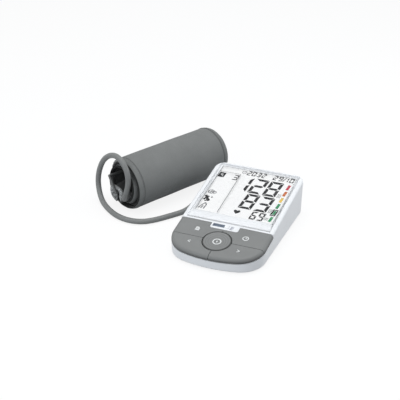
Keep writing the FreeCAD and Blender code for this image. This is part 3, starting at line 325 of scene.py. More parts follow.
def woven_cloth(name, color, pitch, roughness=0.9, sheen=0.25, spread=0.1, depth=0.00012, uses_uv=True,
                seams=(), seam_width=0.0008):
    """Woven cloth on its own length and width, with slubs, a soft sheen, and seam lines grooved and darkened
    with painted shade.
    """
    finish = Finish(name, color, roughness, specular=0.2, uses_uv=uses_uv)
    tree = finish.tree
    pattern = finish.group(PLAIN_WEAVE, Pitch=pitch)
    tone = math_node(tree, "ADD", math_node(tree, "MULTIPLY", pattern["Thread"], 0.45),
                     math_node(tree, "MULTIPLY", pattern["Slub"], 0.55))
    shade = finish.vary_color(tone, 1 - spread, 1 + spread)
    height = pattern["Height"]
    for seam in seams:
        line = finish.group(SEAM_LINE, Seam=seam, Width=seam_width)["Groove"]
        # painted shade in each seam's crease, blended towards a third of the cloth's colour
        shade = finish.blend_color(shade, math_node(tree, "MULTIPLY", line, 0.6),
                                   [part * 0.3 for part in color])
        height = math_node(tree, "SUBTRACT", height, math_node(tree, "MULTIPLY", line, 3.0))
    finish.feed("Base Color", shade)
    finish.bump(height, 0.6, depth)
    finish.set("Sheen Weight", sheen)
    finish.set("Sheen Roughness", 0.5)
    return finish.material


def ink(name, color, roughness=0.5, specular=0.3):
    """Printed or displayed marks, with the faint unevenness of a screen print."""
    finish = Finish(name, color, roughness, specular=specular)
    pattern = finish.group(MOULDED_GRAIN, Grain=4000.0)
    finish.feed("Base Color", finish.vary_color(pattern["Tone"], 0.94, 1.04))
    return finish.material


def metal(name, color, roughness, scale=900.0):
    finish = Finish(name, color, roughness, metallic=1.0)
    pattern = finish.group(MOULDED_GRAIN, Grain=scale)
    finish.feed("Base Color", finish.vary_color(pattern["Tone"], 0.9, 1.05))
    finish.vary_gloss(pattern["Gloss"], roughness - 0.06, roughness + 0.08)
    finish.bump(pattern["Height"], 0.2, 0.00001)
    return finish.material


# ---------------------------------------------------------------- materials
WHITE_SHELL = moulded_plastic("white shell plastic", (0.875, 0.883, 0.895), 0.34, 2200.0, 0.000008, dust=0.02,
                              spread=0.012)
KNOB_PLASTIC = moulded_plastic("selector knob plastic", (0.9, 0.905, 0.91), 0.35, spread=0.015)
# painted shade: the dark blue-grey colour of the selector slot's recess
SLOT_SHADE = moulded_plastic("selector slot painted shade", (0.21, 0.245, 0.30), 0.5, specular=0.2)
LCD_GLASS = moulded_plastic("display glass", (0.912, 0.9, 0.885), 0.3, 4000.0, 0.000003, spread=0.008,
                            specular=0.3)
TRAY_PLASTIC = moulded_plastic("display tray plastic", (0.7, 0.7, 0.7), 0.55)
BOARD_GREEN = moulded_plastic("circuit board lacquer", (0.03, 0.17, 0.07), 0.35)
RIBBON_AMBER = moulded_plastic("ribbon film", (0.55, 0.28, 0.06), 0.3)
DOME_RUBBER = moulded_plastic("dome rubber", (0.4, 0.4, 0.4), 0.7)
BLACK_PLASTIC = moulded_plastic("black plastic", (0.018, 0.018, 0.019), 0.45)
STEEL = metal("steel", (0.58, 0.58, 0.59), 0.32)
CLEAR_TUBE = moulded_plastic("air fitting rubber", (0.42, 0.44, 0.44), 0.5)
CELL_WRAP = moulded_plastic("cell wrap", (0.04, 0.05, 0.08), 0.3)
FOOT_RUBBER = moulded_plastic("foot rubber", (0.03, 0.03, 0.031), 0.75, 1400.0, 0.00003, dust=0.2)
PLUG_PLASTIC = moulded_plastic("air plug plastic", (0.19, 0.192, 0.19), 0.45, dust=0.05)
RING_PAINT = moulded_plastic("ring enamel", (0.115, 0.118, 0.115), 0.34, 1800.0, 0.00001, spread=0.2)
# The seams listed here get painted shade in their creases: the cloth's near both edge tapes, the tape's along
# its outer edge.
CUFF_CLOTH = woven_cloth("cuff cloth", (0.208, 0.213, 0.208), 0.0007, 0.9, 0.1, seams=(0.0018, 0.1276))
PADDED_CLOTH = woven_cloth("padded cloth", (0.225, 0.23, 0.225), 0.0007, 0.9, 0.1, uses_uv=False)
EDGE_TAPE = woven_cloth("edge tape", (0.2, 0.205, 0.2), 0.0009, 0.85, 0.1, 0.12, seams=(0.0,))
# painted shade: a near-black copy of the edge tape, for the tape's inner face
TAPE_INSIDE_SHADE = woven_cloth("painted shade inside the tape", (0.02, 0.021, 0.02), 0.0009, 0.8, 0.1, 0.12)
LINING_CLOTH = woven_cloth("lining cloth", (0.08, 0.082, 0.08), 0.0008, 0.8, 0.15, 0.35)
# painted shade: near-black cloth for the top of the end loop, inside the roll
LOOP_TOP_SHADE = woven_cloth("painted shade on the loop's top", (0.035, 0.036, 0.035), 0.0008, 0.8, 0.1, 0.3, uses_uv=False)
THREAD = woven_cloth("sewing thread", (0.13, 0.133, 0.13), 0.0004, 0.7, 0.2, uses_uv=False)
BLADDER_FILM = moulded_plastic("bladder film", (0.05, 0.05, 0.05), 0.5)
HOOK_TAPE = moulded_plastic("hook tape", (0.02, 0.02, 0.02), 0.6, 900.0, 0.0003)
# painted shade beside the selector knob, in a darker and a paler tone
SLOPE_SHADE_GREY = ink("painted slope shade grey", (0.5, 0.51, 0.56))
SLOPE_SHADE_PALE = ink("painted slope shade pale grey", (0.68, 0.69, 0.73))
MARK_WHITE = ink("key mark white", (0.85, 0.86, 0.85))
INK_BLACK = ink("display black", (0.004, 0.004, 0.0045), 0.7, 0.04)
INK_GREY = ink("display line grey", (0.17, 0.17, 0.175))
INK_FAINT = ink("display faint grey", (0.22, 0.22, 0.23))
LAMP_COLORS = {
    "red": ink("bar red", (0.51, 0.005, 0.03)), "orange": ink("bar orange", (0.60, 0.13, 0.008)),
    "yellow": ink("bar yellow", (0.83, 0.55, 0.08)), "green": ink("bar green", (0.008, 0.26, 0.09)),
}


def make_pile():
    """Brushed loop pile, speckled where its light fibres catch among dark gaps."""
    finish = Finish("loop pile", (0.26, 0.264, 0.26), 0.95, specular=0.1)
    cells = finish.tree.nodes.new("ShaderNodeTexVoronoi")
    finish.tree.links.new(finish.place, cells.inputs["Vector"])
    cells.inputs["Scale"].default_value = 620.0
    speckle = noise_node(finish.tree, finish.place, 520.0, 4.0, 0.7)
    contrast = full_range(finish.tree, speckle, 0.42, 0.6)
    finish.feed("Base Color", finish.vary_color(contrast, 0.35, 2.2))
    finish.bump(cells.outputs["Distance"], 1.0, 0.0006)
    finish.set("Sheen Weight", 0.4)
    return finish.material


def make_hose_rubber():
    """Soft extruded air hose: satin skin with a faint, fine grain."""
    finish = Finish("air hose rubber", (0.225, 0.23, 0.225), 0.46, specular=0.4)
    pattern = finish.group(MOULDED_GRAIN, Grain=1500.0)
    finish.feed("Base Color", finish.vary_color(pattern["Tone"], 0.9, 1.06))
    finish.vary_gloss(pattern["Gloss"], 0.44, 0.56)
    finish.bump(pattern["Height"], 0.4, 0.00003)
    return finish.material


def make_key_plastic():
    """Grey keypad plastic, with painted shade darkening its rolled rim down to the line where it meets the
    white shell.
    """
    finish = Finish("grey key plastic", (0.208, 0.212, 0.208), 0.46, specular=0.4)
    grain = finish.group(MOULDED_GRAIN, Grain=2600.0)
    # painted shade: the keys' rolled rim darkens towards its lower edge beside the white shell
    rim = finish.group(PAINTED_RIM_SHADE, finish.centred(PANEL @ Vector((0, 0, 0)), PANEL_TILT), Top=-0.0006,
                       Foot=-0.0047)["Shade"]
    shade = finish.vary_color(grain["Tone"], 0.96, 1.03)
    finish.feed("Base Color", finish.blend_color(shade, rim, (0.062, 0.064, 0.062)))
    finish.vary_gloss(grain["Gloss"], 0.41, 0.51)
    finish.bump(grain["Height"], 0.35, 0.000014)
    return finish.material


def make_start_key_plastic():
    """The start key's plastic, turned in fine rings, with painted shade at its edge where it meets the
    keypad.
    """
    finish = Finish("start key plastic", (0.206, 0.21, 0.206), 0.44, specular=0.4)
    tree = finish.tree
    centre = PANEL @ Vector((0, 27.4, 0))
    rings = finish.group(TURNED_RINGS, finish.centred(centre, PANEL_TILT), Pitch=0.0026, Rim=0.0146)
    grain = finish.group(MOULDED_GRAIN, Grain=2600.0)
    tone = math_node(tree, "ADD", math_node(tree, "MULTIPLY", rings["Height"], 0.7),
                     math_node(tree, "MULTIPLY", grain["Tone"], 0.3))
    shade = finish.vary_color(tone, 0.84, 1.1)
    # painted shade: the key's outer rim darkened where it meets the keypad
    finish.feed("Base Color", finish.blend_color(shade, rings["Rim"], (0.05, 0.052, 0.05)))
    finish.vary_gloss(grain["Gloss"], 0.39, 0.49)
    finish.bump(rings["Height"], 0.5, 0.00006)
    return finish.material


def make_clear_lens():
    """Clear acrylic lens with a faint gloss, over the display and the white ledge round it."""
    finish = Finish("clear lens", (0.95, 0.955, 0.97), 0.14)
    grain = finish.group(MOULDED_GRAIN, Grain=900.0)
    finish.feed("Base Color", finish.vary_color(grain["Tone"], 0.985, 1.01))
    finish.feed("Alpha", remap(finish.tree, grain["Tone"], 0, 1, 0.022, 0.034))
    finish.vary_gloss(grain["Gloss"], 0.11, 0.17)
    return finish.material


LOOP_PILE = make_pile()
HOSE_RUBBER = make_hose_rubber()
CLEAR_LENS = make_clear_lens()
KEY_PLASTIC = make_key_plastic()
START_PLASTIC = make_start_key_plastic()

NODE_FINISH = (
    (WHITE_SHELL, "top_housing bottom_housing battery_door"),
    (CLEAR_LENS, "display_lens"), (LCD_GLASS, "lcd_panel"), (TRAY_PLASTIC, "lcd_tray"),
    (RIBBON_AMBER, "lcd_ribbon"), (BOARD_GREEN, "main_board"), (DOME_RUBBER, "dome_sheet"),
    (BLACK_PLASTIC, "pressure_sensor buzzer selector_switch pump_head exhaust_valve"),
    (STEEL, "motor_can motor_rotor valve_plunger battery_contacts housing_screws"),
    (CLEAR_TUBE, "air_manifold sensor_tube"), (PLUG_PLASTIC, "air_socket air_plug hose_nozzle"),
    (CELL_WRAP, "battery_cells"), (FOOT_RUBBER, "rubber_feet"), (START_PLASTIC, "start_stop_key"),
    (KEY_PLASTIC, "memory_key clock_key back_arrow_key forward_arrow_key"),
    (KNOB_PLASTIC, "selector_knob"), (BLADDER_FILM, "air_bladder"), (HOOK_TAPE, "hook_strip"),
    (RING_PAINT, "slide_ring"),
)


def finish_nodes():
    for material, names in NODE_FINISH:
        for name in names.split():
            data = nodes[name].data
            data.materials.clear()
            data.materials.append(material)


# ---------------------------------------------------------------- building pieces
def show(item):
    bpy.context.scene.collection.objects.link(item)


def add_piece(name, mesh, place, materials, body, replaced=(), lowest=None):
    """Place a drawn mesh, give it its finish and let it ride on its body."""
    bmesh.ops.transform(mesh, matrix=place, verts=mesh.verts)
    if lowest is not None:
        for vertex in mesh.verts:
            vertex.co.z = max(vertex.co.z, lowest)
    data = bpy.data.meshes.new(name)
    mesh.to_mesh(data)
    mesh.free()
    for material in materials:
        data.materials.append(material)
    data.shade_smooth()
    piece = bpy.data.objects.new(name, data)
    show(piece)
    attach(piece, body)
    if replaced:
        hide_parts(*replaced)
    return piece


def face_outward(mesh):
    bmesh.ops.recalc_face_normals(mesh, faces=mesh.faces)


def add_on_panel(name, mesh, materials, body="monitor"):
    """Place marks or trim drawn in the sloping panel's frame."""
    face_outward(mesh)
    add_piece(name, mesh, PANEL, materials, body)


def add_outline(mesh, corners, depth, low, material=0):
    """A flat shape from its corners, given a small thickness upwards."""
    verts = [mesh.verts.new((x, y, low)) for x, y in corners]
    face = mesh.faces.new(verts)
    face.material_index = material
    raised = bmesh.ops.extrude_face_region(mesh, geom=[face])["geom"]
    tops = [item for item in raised if isinstance(item, bmesh.types.BMVert)]
    bmesh.ops.translate(mesh, vec=(0, 0, depth), verts=tops)
    for vertex in verts + tops:
        for side in vertex.link_faces:
            side.material_index = material


def add_bar(mesh, start, end, width, depth, low, material=0):
    """A printed stroke between two points."""
    start, end = Vector(start), Vector(end)
    along = (end - start).normalized()
    side = Vector((-along.y, along.x)) * width / 2
    add_outline(mesh, [start - side, end - side, end + side, start + side], depth, low, material)


def add_ring(mesh, centre, outer, inner, depth, low, material=0, segments=40):
    """A flat ring, drawn as a turned section."""
    before = set(mesh.faces)
    x, y = centre
    section = [mesh.verts.new((x + reach, y, low + rise))
               for reach, rise in ((inner, 0), (outer, 0), (outer, depth), (inner, depth))]
    edges = [mesh.edges.new((section[i], section[(i + 1) % 4])) for i in range(4)]
    bmesh.ops.spin(mesh, geom=section + edges, cent=(x, y, 0), axis=(0, 0, 1), angle=math.tau,
                   steps=segments, use_merge=True)
    for face in set(mesh.faces) - before:
        face.material_index = material


# ---------------------------------------------------------------- display
# The display's marks lie under the lens, so they are set a little up and to the left of where
# they would be on the panel's surface.
SEGMENTS = {  # corners of each stroke: shares of (width, stroke, gap) across and of (height, stroke, gap) up
    "a": (((0, 0, 1), (1, 0, 0)), ((1, 0, -1), (1, 0, 0)),
          ((1, -1, -1), (1, -1, 0)), ((0, 1, 1), (1, -1, 0))),
    "b": (((1, 0, 0), (1, 0, -1)), ((1, 0, 0), (0.5, 0, 1)),
          ((1, -1, 0), (0.5, 0.5, 1)), ((1, -1, 0), (1, -1, -1))),
    "c": (((1, 0, 0), (0.5, 0, -1)), ((1, 0, 0), (0, 0, 1)),
          ((1, -1, 0), (0, 1, 1)), ((1, -1, 0), (0.5, -0.5, -1))),
    "d": (((0, 1, 1), (0, 1, 0)), ((1, -1, -1), (0, 1, 0)),
          ((1, 0, -1), (0, 0, 0)), ((0, 0, 1), (0, 0, 0))),
    "e": (((0, 0, 0), (0.5, 0, -1)), ((0, 1, 0), (0.5, -0.5, -1)),
          ((0, 1, 0), (0, 1, 1)), ((0, 0, 0), (0, 0, 1))),
    "f": (((0, 0, 0), (1, 0, -1)), ((0, 1, 0), (1, -1, -1)),
          ((0, 1, 0), (0.5, 0.5, 1)), ((0, 0, 0), (0.5, 0, 1))),
    "g": (((0, 0.4, 1), (0.5, 0, 0)), ((0, 1, 1), (0.5, 0.5, 0)), ((1, -1, -1), (0.5, 0.5, 0)),
          ((1, -0.4, -1), (0.5, 0, 0)), ((1, -1, -1), (0.5, -0.5, 0)), ((0, 1, 1), (0.5, -0.5, 0))),
}
DIGITS = {
    "0": "abcdef", "1": "bc", "2": "abged", "3": "abgcd", "4": "fgbc", "5": "afgcd", "6": "afgedc",
    "7": "abc", "8": "abcdefg", "9": "abcdfg",
}
PANEL_STRETCH = 1 / math.cos(PANEL_TILT)
INK_DEPTH = 0.06
SLANT = 0.09


def on_display(x, y):
    """A point of the display as it is read from in front, on the display glass itself."""
    return Vector((x - 1.2, y * PANEL_STRETCH + 2.5))


def add_mark(mesh, start, end, width, material=0):
    """A stroke on the display, between two points as they are read from in front."""
    add_bar(mesh, on_display(*start), on_display(*end), width, INK_DEPTH, LCD_DEPTH, material)


def add_digit(mesh, digit, left, low, width, height, stroke):
    gap = stroke * 0.14
    for name in DIGITS[digit]:
        corners = []
        for across, up in SEGMENTS[name]:
            x = across[0] * width + across[1] * stroke + across[2] * gap
            y = up[0] * height + up[1] * stroke + up[2] * gap
            corners.append(on_display(left + x + SLANT * (y - height / 2), low + y))
        add_outline(mesh, corners, INK_DEPTH, LCD_DEPTH)


def add_display_digits():
    mesh = bmesh.new()
    for digit, left in (("1", -17.0), ("2", 1.4), ("8", 19.4)):
        add_digit(mesh, digit, left, 119.0, 15.8, 28.4, 3.7)
    for digit, left in (("8", 1.2), ("3", 19.2)):
        add_digit(mesh, digit, left, 89.2, 15.8, 28.0, 3.7)
    for digit, left in (("6", 19.2), ("9", 28.0)):
        add_digit(mesh, digit, left, 73.6, 7.2, 14.2, 2.0)
    for digit, left in zip("2032", (-11.9, -6.0, 0.3, 6.2)):
        add_digit(mesh, digit, left, 150.6, 4.7, 8.4, 1.35)
    for digit, left in zip("2910", (20.4, 27.0, 33.8, 40.6)):
        add_digit(mesh, digit, left, 150.6, 5.0, 8.4, 1.35)
    add_mark(mesh, (32.9, 150.6), (35.3, 159.0), 0.9)
    for y in (153.0, 156.4):
        add_mark(mesh, (-0.6, y - 0.4), (-0.5, y + 0.4), 0.8)
    add_digit(mesh, "3", -25.8, 137.0, 6.4, 10.0, 1.4)
    add_on_panel("display_digits", mesh, [INK_BLACK])


def add_display_lines():
    """Frame lines printed on the lens round the display's fields."""
    mesh = bmesh.new()
    for start, end, width in (((-45.2, 74.6), (-45.2, 160), 0.55), ((-45.2, 160), (46.6, 160), 0.5),
                              ((-45.2, 149.5), (-18.9, 149.5), 0.5), ((-18.9, 74.6), (-18.9, 149.5), 0.65)):
        add_bar(mesh, key_spot(*start), key_spot(*end), width, 0.05, LENS_TOP - 0.02)
    add_on_panel("display_lines", mesh, [INK_GREY])


def add_display_gasket():
    """White foam frame between the edge of the display and the lens."""
    mesh = bmesh.new()
    left, right, front, back, width = -46.4, 46.4, 75.1, 164.3, 0.95
    for start, end in (((left, front), (right, front)), ((left, back), (right, back))):
        add_bar(mesh, start, end, width, 0.32, LCD_DEPTH + 0.02)
    for x in (left + width / 2, right - width / 2):
        add_bar(mesh, (x, front), (x, back), width, 0.32, LCD_DEPTH + 0.02)
    add_on_panel("display_gasket", mesh, [KNOB_PLASTIC])


def add_display_symbols():
    """Memory flag, heart, posture and unit marks of the display."""
    mesh = bmesh.new()
    level = LCD_DEPTH
    # memory flag with a light mark in it
    flag = [on_display(*spot) for spot in ((-44.4, 138), (-36.6, 138), (-35.8, 147.6), (-43.6, 147.6))]
    add_outline(mesh, flag, INK_DEPTH, level, 0)
    add_ring(mesh, on_display(-40.2, 143.6), 1.5, 0.9, INK_DEPTH * 2, level, 2, 24)
    add_bar(mesh, on_display(-39.4, 141.4), on_display(-37.6, 139.6), 0.8, INK_DEPTH * 2, level, 2)
    # heart: two lobes over a point
    outline = []
    for step in range(28):
        turn = math.tau * step / 28
        outline.append(on_display(2.2 + 3.9 * math.sin(turn) ** 3,
                                  81.8 + 3.4 * math.cos(turn) - 1.25 * math.cos(2 * turn)
                                  - 0.5 * math.cos(3 * turn)))
    add_outline(mesh, outline[::-1], INK_DEPTH, level, 0)
    # cuff position marks: sleeve, arm and seated figure as simple strokes
    add_ring(mesh, on_display(-39.6, 108.2), 3.9, 2.9, INK_DEPTH, level, 1, 28)
    add_ring(mesh, on_display(-35.6, 107.8), 2.6, 1.7, INK_DEPTH, level, 1, 28)
    add_mark(mesh, (-39.8, 104.6), (-39.3, 111.8), 1.0, 1)
    add_mark(mesh, (-43.2, 108.0), (-35.8, 108.4), 0.9, 1)
    for start, end, width in (((-43.0, 100.4), (-36.2, 90.6), 3.2), ((-42.8, 92.0), (-38.6, 99.6), 2.4),
                              ((-40.8, 89.8), (-35.8, 93.8), 2.2), ((-35.8, 97.6), (-34.0, 99.0), 1.3)):
        add_mark(mesh, start, end, width, 0)
    for start, end in (((-42.6, 75.8), (-40.4, 82.0)), ((-40.4, 82.0), (-38.0, 87.0)),
                       ((-38.0, 87.0), (-35.6, 83.6)), ((-35.6, 83.6), (-36.4, 75.8)),
                       ((-39.6, 75.8), (-38.6, 81.0))):
        add_mark(mesh, start, end, 1.4, 1)
    # clock before the time, and small unit marks beside the large values
    add_ring(mesh, on_display(-15.9, 154.8), 2.9, 2.2, INK_DEPTH, level, 3, 28)
    add_mark(mesh, (-16.1, 154.6), (-14.5, 156.4), 0.7, 3)
    for low, rows in ((119.4, 3), (90.0, 3), (77.0, 2)):
        for row in range(rows):
            y = low + 2.6 * row
            for column in range(3):
                x = 36.2 + 1.6 * column + 0.1 * row
                add_mark(mesh, (x, y), (x + 0.16, y + 1.8), 0.85, 1)
    add_on_panel("display_symbols", mesh, [INK_BLACK, INK_GREY, LCD_GLASS, INK_FAINT])


def add_risk_bars():
    """The coloured scale beside the values, with a frame round the bar that applies."""
    mesh = bmesh.new()
    names = list(LAMP_COLORS)
    for name, low, high, width in (("red", 136.2, 146.0, 3.3), ("orange", 124.0, 133.1, 3.3),
                                   ("yellow", 112.0, 120.8, 3.3), ("green", 100.0, 109.2, 3.3),
                                   ("green", 88.6, 95.8, 2.6), ("green", 75.4, 84.4, 3.3)):
        lean = SLANT * (high - low) / 2
        add_mark(mesh, (43.2 - lean, low), (43.2 + lean, high), width, names.index(name))
    black = len(names)
    corners = [on_display(*spot) for spot in ((40.4, 87.0), (45.0, 87.0), (46.0, 97.4), (41.4, 97.4))]
    for start, end in zip(corners, corners[1:] + corners[:1]):
        along = (end - start).normalized() * 0.7
        add_bar(mesh, start - along, end + along, 1.5, INK_DEPTH * 1.5, LCD_DEPTH, black)
    add_on_panel("risk_scale", mesh, [*LAMP_COLORS.values(), INK_BLACK])


# ---------------------------------------------------------------- keys and selector
def key_spot(x, y):
    return Vector((x, y * PANEL_STRETCH))


def add_key_marks():
    low, depth = KEY_TOP - 0.05, 0.09
    # memory: a small open card with a folded corner
    mesh = bmesh.new()
    x, y = key_spot(-28.5, 41)
    add_outline(mesh, [(x - 2.4, y - 3.0), (x + 2.4, y - 3.0), (x + 2.4, y + 1.2), (x + 0.9, y + 3.0),
                       (x - 2.4, y + 3.0)], depth, low)
    add_bar(mesh, (x - 1.2, y - 0.9), (x + 1.2, y - 0.9), 0.7, depth * 1.2, low, 1)
    add_bar(mesh, (x - 1.2, y + 0.7), (x + 0.6, y + 0.7), 0.7, depth * 1.2, low, 1)
    add_on_panel("memory_mark", mesh, [MARK_WHITE, KEY_PLASTIC], "memory_key_body")
    # clock: a ring with its hands
    mesh = bmesh.new()
    x, y = key_spot(28.4, 40.5)
    add_ring(mesh, (x, y), 3.6, 2.6, depth, low)
    add_bar(mesh, (x, y - 0.2), (x, y + 2.1), 0.8, depth, low)
    add_bar(mesh, (x - 0.2, y), (x + 1.6, y + 0.6), 0.8, depth, low)
    add_on_panel("clock_mark", mesh, [MARK_WHITE], "clock_key_body")
    for name, centre, lean in (("back_arrow", (-29.2, 18.5), 1), ("forward_arrow", (28.2, 18.5), -1)):
        mesh = bmesh.new()
        x, y = key_spot(*centre)
        for rise in (1.8, -1.8):
            add_bar(mesh, (x - lean * 1.5, y), (x + lean * 1.5, y + rise), 0.95, depth, low)
        add_on_panel(name + "_mark", mesh, [MARK_WHITE], name + "_key_body")
    mesh = bmesh.new()
    x, y = 0.0, 27.4
    add_ring(mesh, (x, y), 4.9, 3.75, 0.24, -0.78, segments=48)
    add_bar(mesh, (x, y - 1.5), (x, y + 1.5), 1.1, 0.24, -0.84)
    add_on_panel("start_mark", mesh, [MARK_WHITE], "start_stop_key_body")


def add_slot_bed():
    """Thin sheet lining the floor and walls of the selector's slot, its dark blue-grey colour painted shade
    of the recess.
    """
    mesh = bmesh.new()
    bmesh.ops.create_grid(mesh, x_segments=12, y_segments=4, size=0.5)
    bmesh.ops.scale(mesh, vec=(19.3, 4.9, 1), verts=mesh.verts)
    bmesh.ops.translate(mesh, vec=(-5.5, 53.7, -1.92), verts=mesh.verts)
    rim = [edge for edge in mesh.edges if edge.is_boundary]
    raised = bmesh.ops.extrude_edge_only(mesh, edges=rim)["geom"]
    bmesh.ops.translate(mesh, vec=(0, 0, 1.9), verts=[item for item in raised
                                                     if isinstance(item, bmesh.types.BMVert)])
    face_outward(mesh)
    bmesh.ops.reverse_faces(mesh, faces=mesh.faces)
    piece = add_piece("slot_bed", mesh, PANEL, [SLOT_SHADE], "monitor")
    wall = piece.modifiers.new("lining thickness", "SOLIDIFY")
    wall.thickness = 0.00003
    wall.offset = 0.0


def add_selector_slope_shade():
    """Painted shade of a sloping recess beside the selector: a grey strip and a paler one next to it."""
    mesh = bmesh.new()
    add_outline(mesh, [(5.4, 50.0), (7.3, 49.6), (8.5, 55.6), (6.6, 56.0)], 0.03, -0.01, 0)
    add_outline(mesh, [(7.3, 49.6), (9.0, 49.3), (10.1, 55.3), (8.5, 55.6)], 0.03, -0.01, 1)
    add_on_panel("selector_slope_shade", mesh, [SLOPE_SHADE_GREY, SLOPE_SHADE_PALE])


# ---------------------------------------------------------------- cuff
# Turns of the roll: centre, radius of the middle line, first and last angle about the axis.
# The loose end lies on top, and the roll turns inwards clockwise as seen from its left end.
OUTER_TURN = ((0.0, 0.0), 29.8, 148, -135)
MIDDLE_TURN = ((-3.111, -3.111), 25.4, -135, -315)
INNER_TURN = ((-0.849, -0.849), 22.2, -315, -478)
LOOP_TURN = ((-6.388, -11.267), 10.4, -478, -763)
WRAP = (OUTER_TURN, MIDDLE_TURN, INNER_TURN)
CUFF_LENGTH = 137.8
FLOOR_CLEAR = 0.00005


CLOTH_INSET = 4.2        # from the cuff's end to the cloth's own edge, under the tape
CLOTH_WIDTH = CUFF_LENGTH - 2 * CLOTH_INSET


def clamp(value):
    return min(max(value, 0.0), 1.0)


def turn_point(turn, offset, angle, depth):
    (x, y), radius, _, _ = turn
    reach = radius + offset
    turned = math.radians(angle)
    return Vector((x + reach * math.cos(turned), y + reach * math.sin(turned), depth))


def roll_profile(mesh, profile, turns, step, closed=False):
    """Sweep an (offset, depth) section round the turns of the roll, and lay its UVs out in metres."""
    length, across = mesh.verts.layers.float.new("run"), mesh.verts.layers.float.new("across")
    first = turns[0]
    section = [mesh.verts.new(turn_point(first, offset, first[2], depth)) for offset, depth in profile]
    reach = 0.0
    for vertex, spot, before in zip(section, profile, profile[:1] + profile[:-1]):
        reach += (Vector(spot) - Vector(before)).length
        vertex[across] = reach
    pairs = list(zip(section, section[1:])) + ([(section[-1], section[0])] if closed else [])
    geometry = section + [mesh.edges.new(pair) for pair in pairs]
    run = 0.0
    for (x, y), radius, start, stop in turns:
        known = set(mesh.verts)
        sense = 1 if stop > start else -1
        arc = radius * math.radians(abs(stop - start))
        steps = max(4, round(arc / step))
        swept = bmesh.ops.spin(mesh, geom=geometry, cent=(x, y, 0), axis=(0, 0, 1),
                               angle=math.radians(stop - start), steps=steps)
        geometry = swept["geom_last"]
        for vertex in set(mesh.verts) - known:
            turned = (math.degrees(math.atan2(vertex.co.y - y, vertex.co.x - x)) - start) * sense
            turned = turned % 360 or 360
            vertex[length] = run + radius * math.radians(turned)
        run += arc
    layer = mesh.loops.layers.uv.new("cloth")
    for face in mesh.faces:
        for loop in face.loops:
            loop[layer].uv = (loop.vert[length] / 1000, loop.vert[across] / 1000)
    return run


def telescope(mesh):
    """Let the innermost turn stand out of the roll's left end, and tuck it back where it becomes the loop."""
    length = mesh.verts.layers.float["run"]
    arcs = [math.radians(abs(stop - start)) * radius for _, radius, start, stop in WRAP]
    begins, ends = arcs[0] + arcs[1], sum(arcs)
    for vertex in mesh.verts:
        inward = clamp((vertex[length] - begins + 20) / 60)
        tucked = clamp((vertex[length] - ends + 26) / 22)
        near = clamp((vertex.co.z + 34) / 34)
        reach = 3.0 * inward * inward * (3 - 2 * inward) * (1 - tucked) - 2.6 * tucked
        vertex.co.z += reach * near * near * (3 - 2 * near)


RUFFLE_PHASE = 3.0


def ruffle(mesh, amount):
    """Slight unevenness of hand-rolled cloth, in and out from the middle of the roll."""
    for vertex in mesh.verts:
        out = Vector((vertex.co.x + 2.0, vertex.co.y, 0)).normalized()
        spot = Vector((vertex.co.x / 22, vertex.co.y / 22, vertex.co.z / 34 + RUFFLE_PHASE))
        fine = Vector((vertex.co.x / 6, vertex.co.y / 6, vertex.co.z / 11 + RUFFLE_PHASE))
        edge = max(0.0, 1 - min(-vertex.co.z, CUFF_LENGTH + vertex.co.z) / 16)
        vertex.co += out * (amount * noise.noise(spot) + amount * (0.2 + 0.9 * edge) * noise.noise(fine))


def settle_loose_end(mesh):
    """Thin the wrap towards its loose end, and press it down on the turn below."""
    length = mesh.verts.layers.float["run"]
    for vertex in mesh.verts:
        share = min(vertex[length] / 14, 1.0)
        share = share * share * (3 - 2 * share)
        out = Vector((vertex.co.x, vertex.co.y, 0))
        reach = out.length
        settled = OUTER_TURN[1] - 0.9 + (reach - OUTER_TURN[1]) * 0.45
        if share < 1:
            vertex.co += out.normalized() * (settled - reach) * (1 - share)
        fold = max(0.0, 1 - vertex[length] / 30) * clamp((vertex.co.z + 1.5) / 3.5)
        vertex.co -= out.normalized() * 3.9 * fold


def add_cloth(name, offset, thickness, material, node):
    mesh = bmesh.new()
    depths = [-CLOTH_INSET - CLOTH_WIDTH * index / 54 for index in range(55)]
    run = roll_profile(mesh, [(offset, depth) for depth in depths], WRAP, 1.8)
    ruffle(mesh, 0.28)
    settle_loose_end(mesh)
    telescope(mesh)
    piece = add_piece(name, mesh, CUFF, [material], "cuff_and_hose", [node],
                      FLOOR_CLEAR + thickness / 2000)
    wall = piece.modifiers.new("cloth thickness", "SOLIDIFY")
    wall.thickness = thickness / 1000
    wall.offset = 0.0


TAPE_FOLD = [  # height over the middle of the cloth, and reach past the wrap's edge, from outside to inside
    (1.72, -5.4), (1.72, -4.2), (1.6, -3.0), (1.35, -1.8), (1.0, -0.9), (0.55, 0.1), (0.0, 0.9), (-0.6, 1.6),
    (-1.15, 2.15), (-1.5, 2.3), (-1.85, 2.1), (-2.0, 1.4), (-2.0, 0.0), (-1.95, -2.4), (-1.85, -5.4)]
TAPE_GREY_ROWS = 6.7     # millimetres of the tape, from its outer edge, that show its grey face
TAPE_GREY_RUN = (131, 172)  # stretch along the roll where its whole width does


def add_edge_tapes():
    for name, edge, outward, node in (("left_edge_tape", 0.0, 1, "left_edge_binding"),
                                      ("right_edge_tape", -CUFF_LENGTH, -1, "right_edge_binding")):
        mesh = bmesh.new()
        run = roll_profile(mesh, [(height, edge + outward * reach) for height, reach in TAPE_FOLD], WRAP, 1.5)
        across, length = mesh.verts.layers.float["across"], mesh.verts.layers.float["run"]
        for face in mesh.faces:
            middle = sum(vertex[across] for vertex in face.verts) / len(face.verts)
            along = sum(vertex[length] for vertex in face.verts) / len(face.verts)
            # faces past the grey rows and outside the grey run take painted shade, the tape's inner face
            # darkened to near black
            grey = middle < TAPE_GREY_ROWS or TAPE_GREY_RUN[0] < along < TAPE_GREY_RUN[1]
            face.material_index = 0 if grey else 1
        ruffle(mesh, 0.22)
        settle_loose_end(mesh)
        telescope(mesh)
        face_outward(mesh)
        piece = add_piece(name, mesh, CUFF, [EDGE_TAPE, TAPE_INSIDE_SHADE], "cuff_and_hose", [node],
                          FLOOR_CLEAR)
        wall = piece.modifiers.new("tape thickness", "SOLIDIFY")
        wall.thickness = 0.00035
        wall.offset = -1.0


